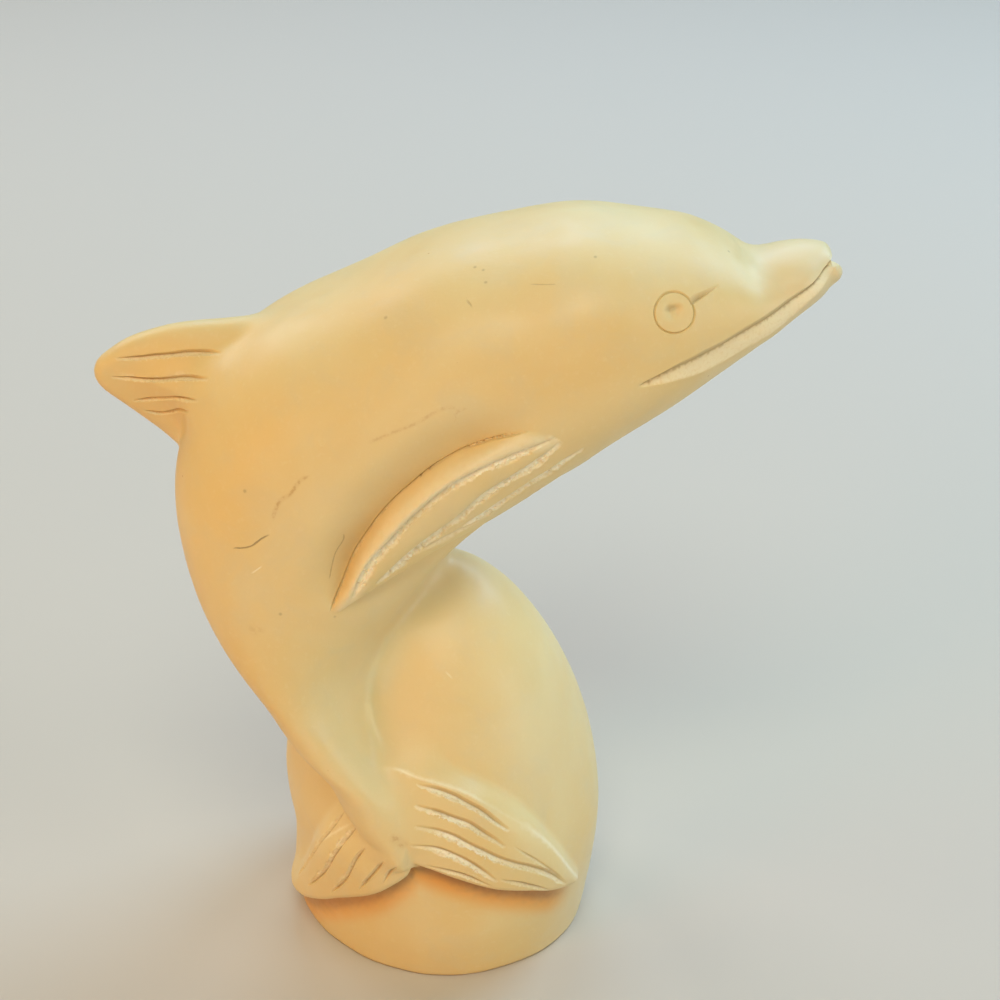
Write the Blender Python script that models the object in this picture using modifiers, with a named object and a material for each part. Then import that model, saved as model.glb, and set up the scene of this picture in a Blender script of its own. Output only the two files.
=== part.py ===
"""Soapstone dolphin carving: a dolphin leaping over an egg-shaped dome.

One solid block of stone.  Metres, +Z up.  Origin: middle of the flat
underside.  The dolphin heads towards +X and the flukes wrap round the
front (-Y) of the dome.  Sizes below are millimetres, multiplied by MM.
"""
import math

import bmesh
import bpy
import numpy as np
from mathutils import Vector
from mathutils.bvhtree import BVHTree

MM = 0.001

# ---------------------------------------------------------------- sizes (mm)
BASE_RADIUS = 20.0        # flat round underside
DOME_RADIUS = 22.0        # widest part of the dome
DOME_WIDEST_Z = 17.6
DOME_RISE = 37.0          # from the widest part to the apex
DOME_POWER = 1.70         # under 2: a slightly pointed egg
BASE_SKEW = 0.8           # the hand-cut foot is fuller at the front right
BASE_SHIFT = 0.35         # and sits a little towards the tail

VOXEL = 0.62              # grid of the joined body
FILLET_PASSES = 10        # smoothing where the belly runs into the dome
TARGET_TRIANGLES = 6300   # before the grooves are cut

STONE_COLOUR = (0.72, 0.55, 0.31, 1.0)
STONE_ROUGHNESS = 0.42

# Sections of the body, beak to tail.  Each runs from a point on the back
# (x, z) to a point on the belly (x, z), with its half thickness, the y of
# its middle and its squareness (2 is an ellipse).
BODY_SECTIONS = (
    # name            back x, z       belly x, z    half   mid y  squareness
    ("beak tip",      50.2, 96.5,     50.6, 95.4,    1.3,   0.0,  2.0),
    ("beak nose",     49.5, 97.2,     50.5, 94.6,    2.7,   0.0,  2.0),
    ("beak front",    48.4, 98.2,     49.5, 93.3,    3.7,   0.0,  2.1),
    ("beak",          45.9, 98.2,     48.4, 92.2,    5.2,   0.0,  2.1),
    ("beak root",     41.8, 97.3,     44.7, 89.1,    7.3,   0.0,  2.1),
    ("crease",        38.7, 97.1,     41.8, 87.0,    9.3,   0.0,  2.1),
    ("brow",          37.1, 98.2,     40.4, 86.0,   10.1,   0.0,  2.1),
    ("melon",         34.6, 99.6,     38.4, 84.5,   11.4,   0.0,  2.1),
    ("eye",           31.1, 100.8,    34.5, 81.8,   13.3,   0.0,  2.2),
    ("cheek",         25.1, 101.4,    30.0, 78.9,   15.6,   0.0,  2.3),
    ("neck",          18.0, 101.8,    24.5, 75.4,   17.4,   0.0,  2.4),
    ("shoulder",       9.0, 100.4,    17.9, 70.5,   18.4,   0.0,  2.4),
    ("chest",         -1.0, 98.1,     10.1, 65.0,   19.0,  -0.5,  2.4),
    ("flipper",      -10.5, 93.9,      2.4, 58.9,   19.0,  -1.0,  2.4),
    ("back",         -20.7, 89.2,     -2.7, 52.7,   18.6,  -1.8,  2.4),
    ("dorsal fin",   -28.0, 82.0,     -5.9, 47.3,   18.0,  -2.6,  2.3),
    ("behind fin",   -32.7, 71.6,     -7.6, 43.9,   17.2,  -3.6,  2.3),
    ("rear flank",   -32.4, 60.9,     -8.4, 40.7,   16.4,  -5.0,  2.2),
    ("haunch",       -28.8, 51.2,     -8.2, 37.8,   15.2,  -7.0,  2.2),
    ("stock top",    -23.3, 43.2,     -7.2, 35.5,   13.2,  -9.8,  2.2),
    ("stock",        -19.4, 37.3,     -5.7, 33.3,   11.2, -12.6,  2.2),
    ("stock low",    -15.1, 32.5,     -3.8, 30.8,    9.4, -15.0,  2.1),
    ("peduncle",     -12.2, 26.9,     -2.5, 27.9,    8.0, -16.7,  2.1),
    ("fluke root",    -9.0, 22.9,     -2.0, 24.5,    6.9, -17.8,  2.0),
    ("notch",         -6.1, 20.6,     -2.5, 21.1,    5.6, -18.7,  2.0),
)

# Blades: stations with a lower edge (a, b), an upper edge (a, b) and how far
# the face stands out there.  The dorsal fin is in (x, z) about y = 0, the
# flippers in (x, z) on the flank, the flukes in (degrees from -Y, z) on the
# dome.
DORSAL_FIN = (
    (-22.0, 65.0, -14.0, 86.0, 5.6),
    (-30.5, 69.8, -23.0, 88.0, 4.4),
    (-34.6, 73.3, -31.0, 88.2, 3.2),
    (-38.0, 76.1, -36.3, 87.0, 2.5),
    (-41.0, 78.5, -40.2, 85.2, 2.0),
    (-42.7, 80.0, -42.2, 83.8, 1.5),
    (-43.3, 81.0, -43.3, 82.2, 0.8),
)
FLIPPER = (
    (-12.5, 56.6, -12.7, 57.4, 0.8),
    (-10.5, 57.9, -11.6, 59.7, 1.4),
    (-7.9, 59.5, -10.3, 63.0, 1.7),
    (-3.5, 62.0, -7.8, 67.7, 1.8),
    (1.0, 64.3, -4.2, 72.2, 1.8),
    (5.0, 66.6, -0.7, 75.5, 1.7),
    (8.8, 68.8, 2.7, 78.0, 1.5),
    (12.8, 71.3, 7.3, 80.0, 1.2),
    (16.6, 74.0, 12.0, 81.2, 0.8),
    (18.8, 76.6, 15.6, 80.6, 0.3),
)
RIGHT_FLUKE = (
    (-18.0, 24.5, -18.0, 35.4, 1.8),
    (-9.0, 21.7, -9.0, 35.0, 2.5),
    (0.0, 20.2, 0.0, 34.0, 2.6),
    (10.0, 18.4, 10.0, 32.6, 2.6),
    (20.0, 16.5, 20.0, 30.5, 2.5),
    (30.0, 14.9, 30.0, 27.3, 2.3),
    (38.0, 13.3, 38.0, 23.6, 2.1),
    (45.0, 12.2, 45.0, 19.1, 1.8),
    (51.0, 11.4, 51.0, 15.2, 1.3),
    (56.0, 11.0, 56.0, 12.0, 0.7),
)
LEFT_FLUKE = (
    (0.0, 23.6, 0.0, 29.8, 1.8),
    (-9.0, 20.0, -9.0, 30.6, 2.5),
    (-15.0, 17.2, -15.0, 30.8, 2.6),
    (-22.0, 14.7, -22.0, 30.5, 2.5),
    (-30.0, 12.8, -30.0, 29.2, 2.4),
    (-40.0, 10.4, -40.0, 25.6, 2.2),
    (-50.0, 8.1, -50.0, 19.8, 1.9),
    (-60.0, 5.9, -60.0, 14.2, 1.6),
    (-70.0, 4.4, -70.0, 10.0, 1.3),
    (-78.0, 4.3, -78.0, 8.2, 1.0),
    (-85.0, 5.0, -85.0, 7.0, 0.6),
)

# V grooves: depth, width, then the line they follow.
MOUTH = (0.75, 1.8, ((24.9, 86.4), (27.7, 87.1), (31.9, 88.3), (34.6, 89.1),
                     (37.4, 90.3), (42.6, 92.6), (46.9, 95.2), (48.3, 96.7)))
EYE_CENTRE = (28.8, 94.6)
EYE_RADIUS = 2.4
EYE_WEDGE = (0.5, 0.8, ((31.0, 95.6), (32.6, 96.1), (34.2, 96.6)))
FLIPPER_GROOVES = (
    (0.6, 1.2, ((14.1, 79.9), (8.4, 78.1), (2.7, 75.3), (-2.0, 71.1),
                (-6.0, 66.6), (-9.5, 60.6))),
    (0.6, 1.2, ((14.7, 78.9), (10.7, 75.8), (6.8, 73.4), (2.6, 69.4),
                (-4.5, 63.3))),
    (0.5, 1.0, ((17.9, 77.5), (14.2, 75.1), (8.4, 71.2), (2.8, 67.3))),
)
DORSAL_GROOVES = (
    (0.5, 1.0, ((-39.6, 83.9), (-35.7, 84.5), (-32.1, 85.4), (-27.0, 86.6))),
    (0.5, 1.0, ((-40.5, 81.4), (-37.3, 81.5), (-33.5, 82.2), (-28.4, 83.6))),
    (0.4, 0.9, ((-37.9, 78.4), (-35.0, 79.0), (-32.3, 79.9), (-29.8, 80.8))),
)
FLUKE_GROOVES = (
    (0.6, 1.1, ((-6.0, 32.4), (3.0, 31.4), (13.0, 29.2), (23.0, 25.5))),
    (0.6, 1.1, ((-6.0, 29.9), (2.0, 28.8), (10.0, 27.3), (21.0, 23.5))),
    (0.6, 1.1, ((-6.0, 27.3), (3.0, 26.2), (12.0, 24.0), (29.0, 19.4),
                (42.0, 14.6))),
    (0.6, 1.1, ((-6.5, 24.7), (0.0, 24.1), (7.0, 22.7), (18.0, 18.8))),
    (0.5, 0.9, ((-2.0, 21.4), (5.0, 20.6), (15.0, 18.3))),
    (0.5, 0.9, ((22.0, 18.2), (27.0, 17.0), (36.0, 14.3))),
    (0.6, 1.0, ((-34.0, 25.7), (-45.0, 18.7), (-62.0, 9.9))),
    (0.6, 1.0, ((-27.0, 25.0), (-36.0, 19.1), (-52.0, 10.8))),
    (0.6, 1.0, ((-23.0, 22.7), (-30.0, 17.2), (-38.0, 12.9))),
    (0.5, 0.9, ((-16.5, 21.6), (-20.0, 19.3), (-26.0, 15.6))),
)


# ------------------------------------------------------------------- helpers
def spline(knots, values, at):
    """Natural cubic spline through (knots, values), read at `at`."""
    k, v = np.asarray(knots, float), np.asarray(values, float)
    n, h = len(k), np.diff(np.asarray(knots, float))
    a, r = np.eye(n), np.zeros(n)
    for i in range(1, n - 1):
        a[i, i - 1:i + 2] = h[i - 1], 2.0 * (h[i - 1] + h[i]), h[i]
        r[i] = 6.0 * ((v[i + 1] - v[i]) / h[i] - (v[i] - v[i - 1]) / h[i - 1])
    m = np.linalg.solve(a, r)
    i = np.clip(np.searchsorted(k, at) - 1, 0, n - 2)
    d, e = at - k[i], k[i + 1] - at
    return ((m[i] * e ** 3 + m[i + 1] * d ** 3) / (6.0 * h[i])
            + (v[i] / h[i] - m[i] * h[i] / 6.0) * e
            + (v[i + 1] / h[i] - m[i + 1] * h[i] / 6.0) * d)


def stations(rows, count):
    """The rows of a table, read as smooth curves at `count` even steps."""
    table = np.array(rows, float)
    middle = (table[:, 0:2] + table[:, 2:4]) / 2.0
    steps = np.hypot(*np.diff(middle, axis=0).T) + 0.6
    knots = np.concatenate(([0.0], np.cumsum(steps)))
    at = np.linspace(0.0, knots[-1], count)
    return np.stack([spline(knots, column, at) for column in table.T], axis=1)


def superellipse(angle, power):
    c, s = math.cos(angle), math.sin(angle)
    return (math.copysign(abs(c) ** (2.0 / power), c),
            math.copysign(abs(s) ** (2.0 / power), s))


def loft(name, rings, closed=False):
    """A skin through unlike rings of equal count, capped unless closed."""
    bm = bmesh.new()
    loops = [[bm.verts.new(Vector(p) * MM) for p in ring] for ring in rings]
    count, pairs = len(loops[0]), list(zip(loops, loops[1:]))
    if closed:
        pairs.append((loops[-1], loops[0]))
    for one, two in pairs:
        for i in range(count):
            j = (i + 1) % count
            bm.faces.new((one[i], one[j], two[j], two[i]))
    if not closed:
        bm.faces.new(loops[0])
        bm.faces.new(loops[-1])
    bmesh.ops.recalc_face_normals(bm, faces=bm.faces)
    mesh = bpy.data.meshes.new(name)
    bm.to_mesh(mesh)
    bm.free()
    return add_object(name, mesh)


def add_object(name, mesh, to=None):
    ob = bpy.data.objects.new(name, mesh)
    (to or shaping).objects.link(ob)
    return ob


def bake(ob):
    """Replace an object's mesh by its evaluated one."""
    graph = bpy.context.evaluated_depsgraph_get()
    mesh = bpy.data.meshes.new_from_object(ob.evaluated_get(graph))
    ob.modifiers.clear()
    ob.data = mesh
    return ob


def combine(ob, other, operation):
    mod = ob.modifiers.new("cut" if operation == "DIFFERENCE" else "join",
                           "BOOLEAN")
    mod.operation, mod.object, mod.solver = operation, other, "EXACT"
    mod.use_self = False
    bake(ob)
    bpy.data.objects.remove(other)
    return ob


def surface_tree(ob):
    bm = bmesh.new()
    bm.from_mesh(ob.data)
    tree = BVHTree.FromBMesh(bm)
    bm.free()
    return tree


def on_flank(tree, x, z, side):
    """Point and normal of the flank at (x, z); side -1 is the front."""
    start = Vector((x, side * 80.0, z)) * MM
    hit, normal, _, _ = tree.ray_cast(start, Vector((0.0, -side, 0.0)))
    return (None, None) if hit is None else (hit / MM, normal)


def on_dome(tree, degrees, z):
    """Point and normal of the front at an angle from -Y, height z."""
    a = math.radians(degrees)
    outward = Vector((math.sin(a), -math.cos(a), 0.0))
    start = (outward * 80.0 + Vector((0.0, 0.0, z))) * MM
    hit, normal, _, _ = tree.ray_cast(start, -outward)
    return (None, None) if hit is None else (hit / MM, normal)


def dome_radius(z):
    if z >= DOME_WIDEST_Z:
        t = min((z - DOME_WIDEST_Z) / DOME_RISE, 1.0)
        return DOME_RADIUS * (1.0 - t ** DOME_POWER) ** (1.0 / DOME_POWER)
    u = 1.0 - z / DOME_WIDEST_Z
    return BASE_RADIUS + (DOME_RADIUS - BASE_RADIUS) * (1.0 - u * u)


# -------------------------------------------------------------------- pieces
def make_body():
    rings = []
    for bx, bz, vx, vz, half, mid, power in stations(
            [row[1:] for row in BODY_SECTIONS], 72):
        ring = []
        for i in range(40):
            c, s = superellipse(2.0 * math.pi * i / 40, power)
            ring.append(((bx + vx) / 2 + (bx - vx) / 2 * c,
                         mid + half * s,
                         (bz + vz) / 2 + (bz - vz) / 2 * c))
        rings.append(ring)
    return loft("body", rings)


def make_dome():
    """The egg, a turned profile from its apex down to below the floor."""
    bm = bmesh.new()
    heights = [DOME_WIDEST_Z + DOME_RISE * math.sin(t * math.pi / 60)
               for t in range(30, 0, -1)]
    heights += [DOME_WIDEST_Z * (1.0 - i / 8) for i in range(9)]
    points = [(0.0, heights[0])] + [(dome_radius(z), z) for z in heights[1:]]
    points += [(BASE_RADIUS, -3.0), (0.0, -3.0)]
    verts = [bm.verts.new((r * MM, 0.0, z * MM)) for r, z in points]
    for one, two in zip(verts, verts[1:]):
        bm.edges.new((one, two))
    mesh = bpy.data.meshes.new("dome")
    bm.to_mesh(mesh)
    bm.free()
    dome = add_object("dome", mesh)
    turn = dome.modifiers.new("turn", "SCREW")
    turn.axis, turn.steps, turn.render_steps = "Z", 72, 72
    turn.use_merge_vertices, turn.merge_threshold = True, 0.00001
    turn.use_normal_calculate = False
    bake(dome)
    for vert in dome.data.vertices:
        x, y, z = vert.co / MM
        low = 1.0 - min(max((z - 8.0) / 22.0, 0.0), 1.0)
        swell = BASE_SKEW * math.sin(2.0 * math.atan2(x, -y)) * low
        rho = math.hypot(x, y)
        if rho > 1.0:
            grow = 1.0 + swell / 20.0
            shift = BASE_SHIFT * (1.0 - min(max((z - 2.0) / 18.0, 0.0), 1.0))
            vert.co = Vector((x * grow - shift, y * grow, z)) * MM
    return dome


def make_blade(name, rows, place, count=22, around=20, power=2.6, root=3.0):
    """A leaf-shaped blade: place() puts (a, b, depth) on its carrier."""
    rings = []
    for a0, b0, a1, b1, proud in stations(rows, count):
        ring = []
        for i in range(around):
            c, s = superellipse(2.0 * math.pi * i / around, power)
            depth = s * max(proud, 0.2) if s > 0 else s * root
            ring.append(place((a0 + a1) / 2 + (a1 - a0) / 2 * c,
                              (b0 + b1) / 2 + (b1 - b0) / 2 * c, depth))
        rings.append(ring)
    return loft(name, rings)


def dorsal_fin():
    rows = DORSAL_FIN
    rings = []
    for a0, b0, a1, b1, half in stations(rows, 22):
        ring = []
        for i in range(20):
            c, s = superellipse(2.0 * math.pi * i / 20, 2.8)
            ring.append(((a0 + a1) / 2 + (a1 - a0) / 2 * c, -1.2 + half * s,
                         (b0 + b1) / 2 + (b1 - b0) / 2 * c))
        rings.append(ring)
    return loft("dorsal", rings)


def flipper(tree, side):
    def place(x, z, depth):
        hit, _ = on_flank(tree, x, z, side)
        y = hit.y if hit is not None else side * 12.0
        return x, y + side * depth, z
    return make_blade("flipper", FLIPPER, place, power=3.0)


def fluke(rows):
    def place(degrees, z, depth):
        a, r = math.radians(degrees), dome_radius(z) + depth
        return r * math.sin(a), -r * math.cos(a), z
    return make_blade("fluke", rows, place, count=26, power=2.6, root=3.5)


def soften_valley(ob):
    """Rounds the hollow where the belly and tail run into the dome."""
    bm = bmesh.new()
    bm.from_mesh(ob.data)
    axis = [Vector(p) * MM for p in ((-4.0, -12.0, 54.0), (-7.0, -19.0, 44.0),
                                     (-6.0, -20.0, 38.0), (-4.0, 14.0, 54.0),
                                     (-16.0, 8.0, 44.0), (-14.0, 14.0, 40.0))]
    weights = {}
    for vert in bm.verts:
        near = min((vert.co - p).length for p in axis) / MM
        if near < 11.0:
            weights[vert] = 1.0 - near / 11.0
    for _ in range(FILLET_PASSES * 6):
        moved = {}
        for vert, weight in weights.items():
            around = [e.other_vert(vert).co for e in vert.link_edges]
            mean = sum(around, Vector()) / len(around)
            moved[vert] = vert.co.lerp(mean, weight * 0.6)
        for vert, co in moved.items():
            vert.co = co
    bm.to_mesh(ob.data)
    bm.free()


def groove(line, depth, width, locate, closed=False):
    """A V-shaped cutter that follows a line on the surface."""
    table = np.array(line, float)
    if closed:
        table = np.vstack([table, table[:1]])
    run = np.concatenate(([0.0], np.cumsum(np.hypot(*np.diff(table, axis=0).T))))
    count = max(4, min(24, 3 * len(line) - 2))
    at = np.linspace(0.0, run[-1], count + (1 if closed else 0))
    path = np.stack([spline(run, table[:, i], at) for i in (0, 1)], axis=1)
    if closed:
        path = path[:-1]
    found = [locate(a, b) for a, b in path]
    found = [(p, n) for p, n in found if p is not None]
    rings, last = [], len(found) - 1
    for i, (point, normal) in enumerate(found):
        before = found[(i - 1) % len(found)] if closed else found[max(i - 1, 0)]
        after = found[(i + 1) % len(found)] if closed else found[min(i + 1, last)]
        along = (after[0] - before[0]).normalized()
        across = along.cross(normal).normalized()
        end = 1.0 if closed else min(1.0, 0.35 + 2.6 * min(i, last - i) / last)
        deep, half, lift = depth * end, width / 2.0 * end, 0.5
        half *= (deep + lift) / deep
        rings.append([point + normal * lift + across * half,
                      point + normal * lift - across * half,
                      point - normal * deep])
    return loft("groove", rings, closed)


def trim_and_fill(ob):
    """Cuts the foot flat at z = 0 and closes it with one face."""
    bm = bmesh.new()
    bm.from_mesh(ob.data)
    bmesh.ops.bisect_plane(bm, geom=bm.verts[:] + bm.edges[:] + bm.faces[:],
                           plane_co=(0.0, 0.0, 0.0), plane_no=(0.0, 0.0, 1.0),
                           clear_inner=True)
    rim = [e for e in bm.edges if e.is_boundary]
    bmesh.ops.contextual_create(bm, geom=rim)
    bmesh.ops.recalc_face_normals(bm, faces=bm.faces)
    bm.to_mesh(ob.data)
    bm.free()


# --------------------------------------------------------------------- build
for old in list(bpy.data.objects):
    bpy.data.objects.remove(old)

scene = bpy.context.scene
parts = bpy.data.collections.new("soapstone_dolphin_carving")
shaping = bpy.data.collections.new("shaping")
scene.collection.children.link(parts)
scene.collection.children.link(shaping)

stone = bpy.data.materials.new("cream_soapstone")
stone.use_nodes = True
principled = stone.node_tree.nodes["Principled BSDF"]
principled.inputs["Base Color"].default_value = STONE_COLOUR
principled.inputs["Roughness"].default_value = STONE_ROUGHNESS
principled.inputs["Metallic"].default_value = 0.0

carving = make_body()
flanks = surface_tree(carving)
flippers = [flipper(flanks, side) for side in (-1.0, 1.0)]
combine(carving, make_dome(), "UNION")
combine(carving, dorsal_fin(), "UNION")
for rows in (RIGHT_FLUKE, LEFT_FLUKE):
    combine(carving, fluke(rows), "UNION")
for blade in flippers:
    combine(carving, blade, "UNION")

remesh = carving.modifiers.new("one skin", "REMESH")
remesh.mode, remesh.voxel_size = "VOXEL", VOXEL * MM
soft = carving.modifiers.new("tool finish", "SMOOTH")
soft.factor, soft.iterations = 0.5, 3
bake(carving)
soften_valley(carving)

thin = carving.modifiers.new("facets", "DECIMATE")
triangles = sum(len(p.vertices) - 2 for p in carving.data.polygons)
thin.ratio = TARGET_TRIANGLES / triangles
bake(carving)
trim_and_fill(carving)

skin = surface_tree(carving)
cutters = []
for side in (-1.0, 1.0):
    def spot(x, z, side=side):
        return on_flank(skin, x, z, side)
    ring = [(EYE_CENTRE[0] + EYE_RADIUS * math.cos(t * math.pi / 8),
             EYE_CENTRE[1] + EYE_RADIUS * math.sin(t * math.pi / 8))
            for t in range(16)]
    cutters.append(groove(ring, 0.35, 0.8, spot, closed=True))
    for depth, width, line in ((MOUTH, EYE_WEDGE) + FLIPPER_GROOVES
                               + DORSAL_GROOVES):
        cutters.append(groove(line, depth, width, spot))
for depth, width, line in FLUKE_GROOVES:
    cutters.append(groove(line, depth, width,
                          lambda a, b: on_dome(skin, a, b)))
for cutter in cutters:
    combine(carving, cutter, "DIFFERENCE")

carving.name = carving.data.name = "dolphin_carving"
carving.data.materials.clear()
carving.data.materials.append(stone)
shaping.objects.unlink(carving)
parts.objects.link(carving)
carving.data.shade_smooth()
carving.data.set_sharp_from_angle(angle=math.radians(40.0))
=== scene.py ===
"""The soapstone dolphin carving as it looks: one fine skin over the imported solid."""
import math
from concurrent import futures

import bmesh
import bpy
import numpy as np
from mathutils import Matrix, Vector


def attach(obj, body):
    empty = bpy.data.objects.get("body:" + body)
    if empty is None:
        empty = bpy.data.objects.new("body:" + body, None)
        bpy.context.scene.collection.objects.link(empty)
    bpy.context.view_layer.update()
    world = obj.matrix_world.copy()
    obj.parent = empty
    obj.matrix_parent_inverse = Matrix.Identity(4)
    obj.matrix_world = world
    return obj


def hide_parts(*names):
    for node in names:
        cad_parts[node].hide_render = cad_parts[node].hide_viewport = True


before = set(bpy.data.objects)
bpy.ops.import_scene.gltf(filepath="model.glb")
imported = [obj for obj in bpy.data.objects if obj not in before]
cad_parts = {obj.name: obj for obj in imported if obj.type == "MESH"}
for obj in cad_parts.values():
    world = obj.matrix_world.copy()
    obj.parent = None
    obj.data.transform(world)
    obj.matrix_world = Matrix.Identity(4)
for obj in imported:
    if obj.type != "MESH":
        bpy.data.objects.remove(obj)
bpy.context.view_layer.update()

# ==== carving: begin (plain numpy, millimetres) ==============================
# Sections of the body from the beak to the tail: back (x, z), belly (x, z),
# half thickness, y of the middle, squareness of the section (2 = ellipse).
SECTIONS = (
    (50.2, 96.5, 50.6, 95.4, 1.3, 0.0, 2.0),      # tip of the beak
    (49.5, 97.2, 50.5, 94.6, 2.7, 0.0, 2.0),
    (48.4, 98.2, 49.5, 93.3, 3.7, 0.0, 2.1),
    (45.9, 98.2, 48.4, 92.2, 5.2, 0.0, 2.1),      # beak
    (41.8, 97.3, 44.7, 89.15, 7.35, 0.0, 2.1),
    (38.7, 97.1, 41.8, 87.0, 9.3, 0.0, 2.1),      # crease
    (37.1, 98.2, 40.4, 86.0, 10.15, 0.0, 2.1),
    (34.6, 99.6, 38.4, 84.5, 11.4, 0.0, 2.1),     # melon
    (31.1, 100.85, 34.5, 81.75, 13.3, 0.0, 2.15), # eye
    (25.1, 101.4, 30.0, 78.85, 15.6, 0.0, 2.3),   # cheek
    (18.0, 101.8, 24.5, 75.4, 17.4, 0.0, 2.4),    # neck
    (9.0, 100.4, 17.9, 70.5, 18.4, 0.0, 2.4),     # shoulder
    (-1.0, 98.1, 10.1, 64.95, 19.0, -0.5, 2.4),   # chest
    (-10.5, 93.9, 2.4, 58.9, 19.0, -1.0, 2.4),
    (-20.7, 89.2, -2.7, 52.7, 18.6, -1.8, 2.4),   # back
    (-28.0, 82.0, -5.9, 47.3, 18.0, -2.6, 2.3),   # dorsal fin
    (-32.7, 71.6, -7.6, 43.9, 17.2, -3.6, 2.3),
    (-32.4, 60.9, -8.4, 40.7, 16.4, -5.0, 2.2),   # rear flank
    (-28.8, 51.2, -8.2, 37.8, 15.2, -7.0, 2.2),
    (-23.3, 43.2, -7.2, 35.5, 13.2, -9.8, 2.2),   # tail stock
    (-19.4, 37.3, -5.7, 33.3, 11.2, -12.6, 2.2),
    (-15.1, 32.5, -3.8, 30.8, 9.4, -15.0, 2.1),
    (-12.2, 26.9, -2.5, 27.9, 8.0, -16.7, 2.1),
    (-9.0, 22.9, -2.0, 24.5, 6.9, -17.8, 2.0),    # fluke root
    (-6.1, 20.6, -2.5, 21.1, 5.6, -18.7, 2.0),    # notch
)
DOME_R, DOME_Z, DOME_H, DOME_N, FOOT_R = 22.0, 17.6, 37.0, 1.70, 20.0

# Outline of the dorsal fin in (x, z); its two ends lie inside the body.
FIN_OUTLINE = ((-14.0, 87.4), (-20.5, 89.0), (-23.2, 88.95), (-26.0, 88.65), (-31.5, 88.15),
               (-35.1, 87.3), (-38.8, 85.9), (-41.1, 84.4), (-42.7, 82.85),
               (-43.05, 81.5), (-42.5, 80.0), (-40.5, 78.1), (-37.1, 75.4),
               (-34.6, 73.2), (-33.0, 71.5), (-29.0, 68.0), (-20.0, 67.0))
# The flukes: degrees from -Y, then the heights of the lower edge, of the ridge
# and of the line where the blade meets the dome, then how proud the blade
# stands at the ridge and at its lower edge.
RIGHT_FLUKE = ((-36, 27.0, 32.0, 34.0, 1.6, 1.8), (-22, 26.0, 33.6, 35.4, 2.0, 2.2),
               (-15, 23.6, 34.1, 35.6, 2.2, 2.4), (-8.4, 21.6, 33.4, 35.0, 2.2, 2.5),
               (-2, 20.6, 32.8, 34.3, 2.2, 2.5), (2.5, 19.8, 32.3, 33.7, 2.2, 2.5),
               (9, 18.6, 31.3, 32.8, 2.2, 2.5), (15.5, 17.3, 29.7, 31.6, 2.2, 2.5),
               (24.5, 15.8, 26.7, 29.3, 2.1, 2.4), (31, 14.7, 24.4, 27.0, 2.0, 2.2),
               (37.5, 13.4, 21.3, 23.8, 1.8, 2.0), (45.5, 12.1, 16.2, 18.9, 1.5, 1.6),
               (52, 11.2, 12.5, 14.7, 1.1, 1.2), (56, 10.6, 11.0, 12.0, 0.7, 0.7),
               (59, 10.0, 10.0, 9.8, 0.3, 0.3))
LEFT_FLUKE = ((6, 25.4, 28.0, 29.5, 2.0, 2.2), (-3, 23.4, 28.0, 30.0, 2.2, 2.3),
              (-7.3, 22.0, 28.0, 30.4, 2.2, 2.4), (-8.6, 20.0, 28.0, 30.6, 2.2, 2.4),
              (-10, 19.0, 28.0, 30.7, 2.2, 2.4), (-12.8, 17.9, 28.0, 30.8, 2.2, 2.4),
              (-18, 16.0, 27.4, 30.8, 2.0, 2.4), (-27.5, 13.4, 25.6, 30.2, 1.8, 2.2),
              (-36, 11.4, 22.8, 27.6, 1.7, 2.0), (-43, 9.7, 20.0, 24.0, 1.7, 2.0),
              (-55, 6.9, 14.2, 16.8, 1.45, 1.7), (-63, 5.3, 10.6, 12.7, 1.35, 1.5),
              (-70, 4.3, 7.9, 9.9, 1.2, 1.3), (-77, 4.0, 6.5, 8.3, 0.95, 1.05),
              (-84, 4.4, 5.8, 7.0, 0.6, 0.65), (-90, 5.3, 5.6, 5.8, 0.2, 0.2))
# The flipper in (x, z) on the flank: upper and lower edge, tip to shoulder.
FLIPPER_TOP = ((-12.8, 56.8), (-12.1, 58.5), (-11.2, 60.6), (-9.6, 64.6),
               (-7.2, 68.5), (-5.3, 71.1), (-2.5, 73.9), (0.2, 76.3),
               (3.8, 78.5), (7.6, 80.15), (11.4, 81.25), (13.7, 80.9))
FLIPPER_LOW = ((-12.8, 56.8), (-12.0, 56.8), (-10.3, 57.9), (-7.9, 59.4), (-2.3, 62.5),
               (3.0, 65.2), (8.2, 67.8), (13.0, 70.8), (17.5, 74.0),
               (20.0, 76.2))


def smoothstep(x, a, b):
    t = np.clip((x - a) / (b - a), 0.0, 1.0)
    return t * t * (3.0 - 2.0 * t)


def soft_min(a, b, k):
    h = np.clip(0.5 + 0.5 * (b - a) / k, 0.0, 1.0)
    return b + (a - b) * h - k * h * (1.0 - h)


def soft_max(a, b, k):
    return -soft_min(-a, -b, k)


def spline(knots, values, at):
    """Natural cubic spline through (knots, values), read at `at`."""
    k, v = np.asarray(knots, float), np.asarray(values, float)
    n, h = len(k), np.diff(np.asarray(knots, float))
    a, r = np.eye(n), np.zeros(n)
    for i in range(1, n - 1):
        a[i, i - 1:i + 2] = h[i - 1], 2.0 * (h[i - 1] + h[i]), h[i]
        r[i] = 6.0 * ((v[i + 1] - v[i]) / h[i] - (v[i] - v[i - 1]) / h[i - 1])
    m = np.linalg.solve(a, r)
    i = np.clip(np.searchsorted(k, at) - 1, 0, n - 2)
    d, e = at - k[i], k[i + 1] - at
    return ((m[i] * e ** 3 + m[i + 1] * d ** 3) / (6.0 * h[i])
            + (v[i] / h[i] - m[i] * h[i] / 6.0) * e
            + (v[i + 1] / h[i] - m[i + 1] * h[i] / 6.0) * d)


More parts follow.
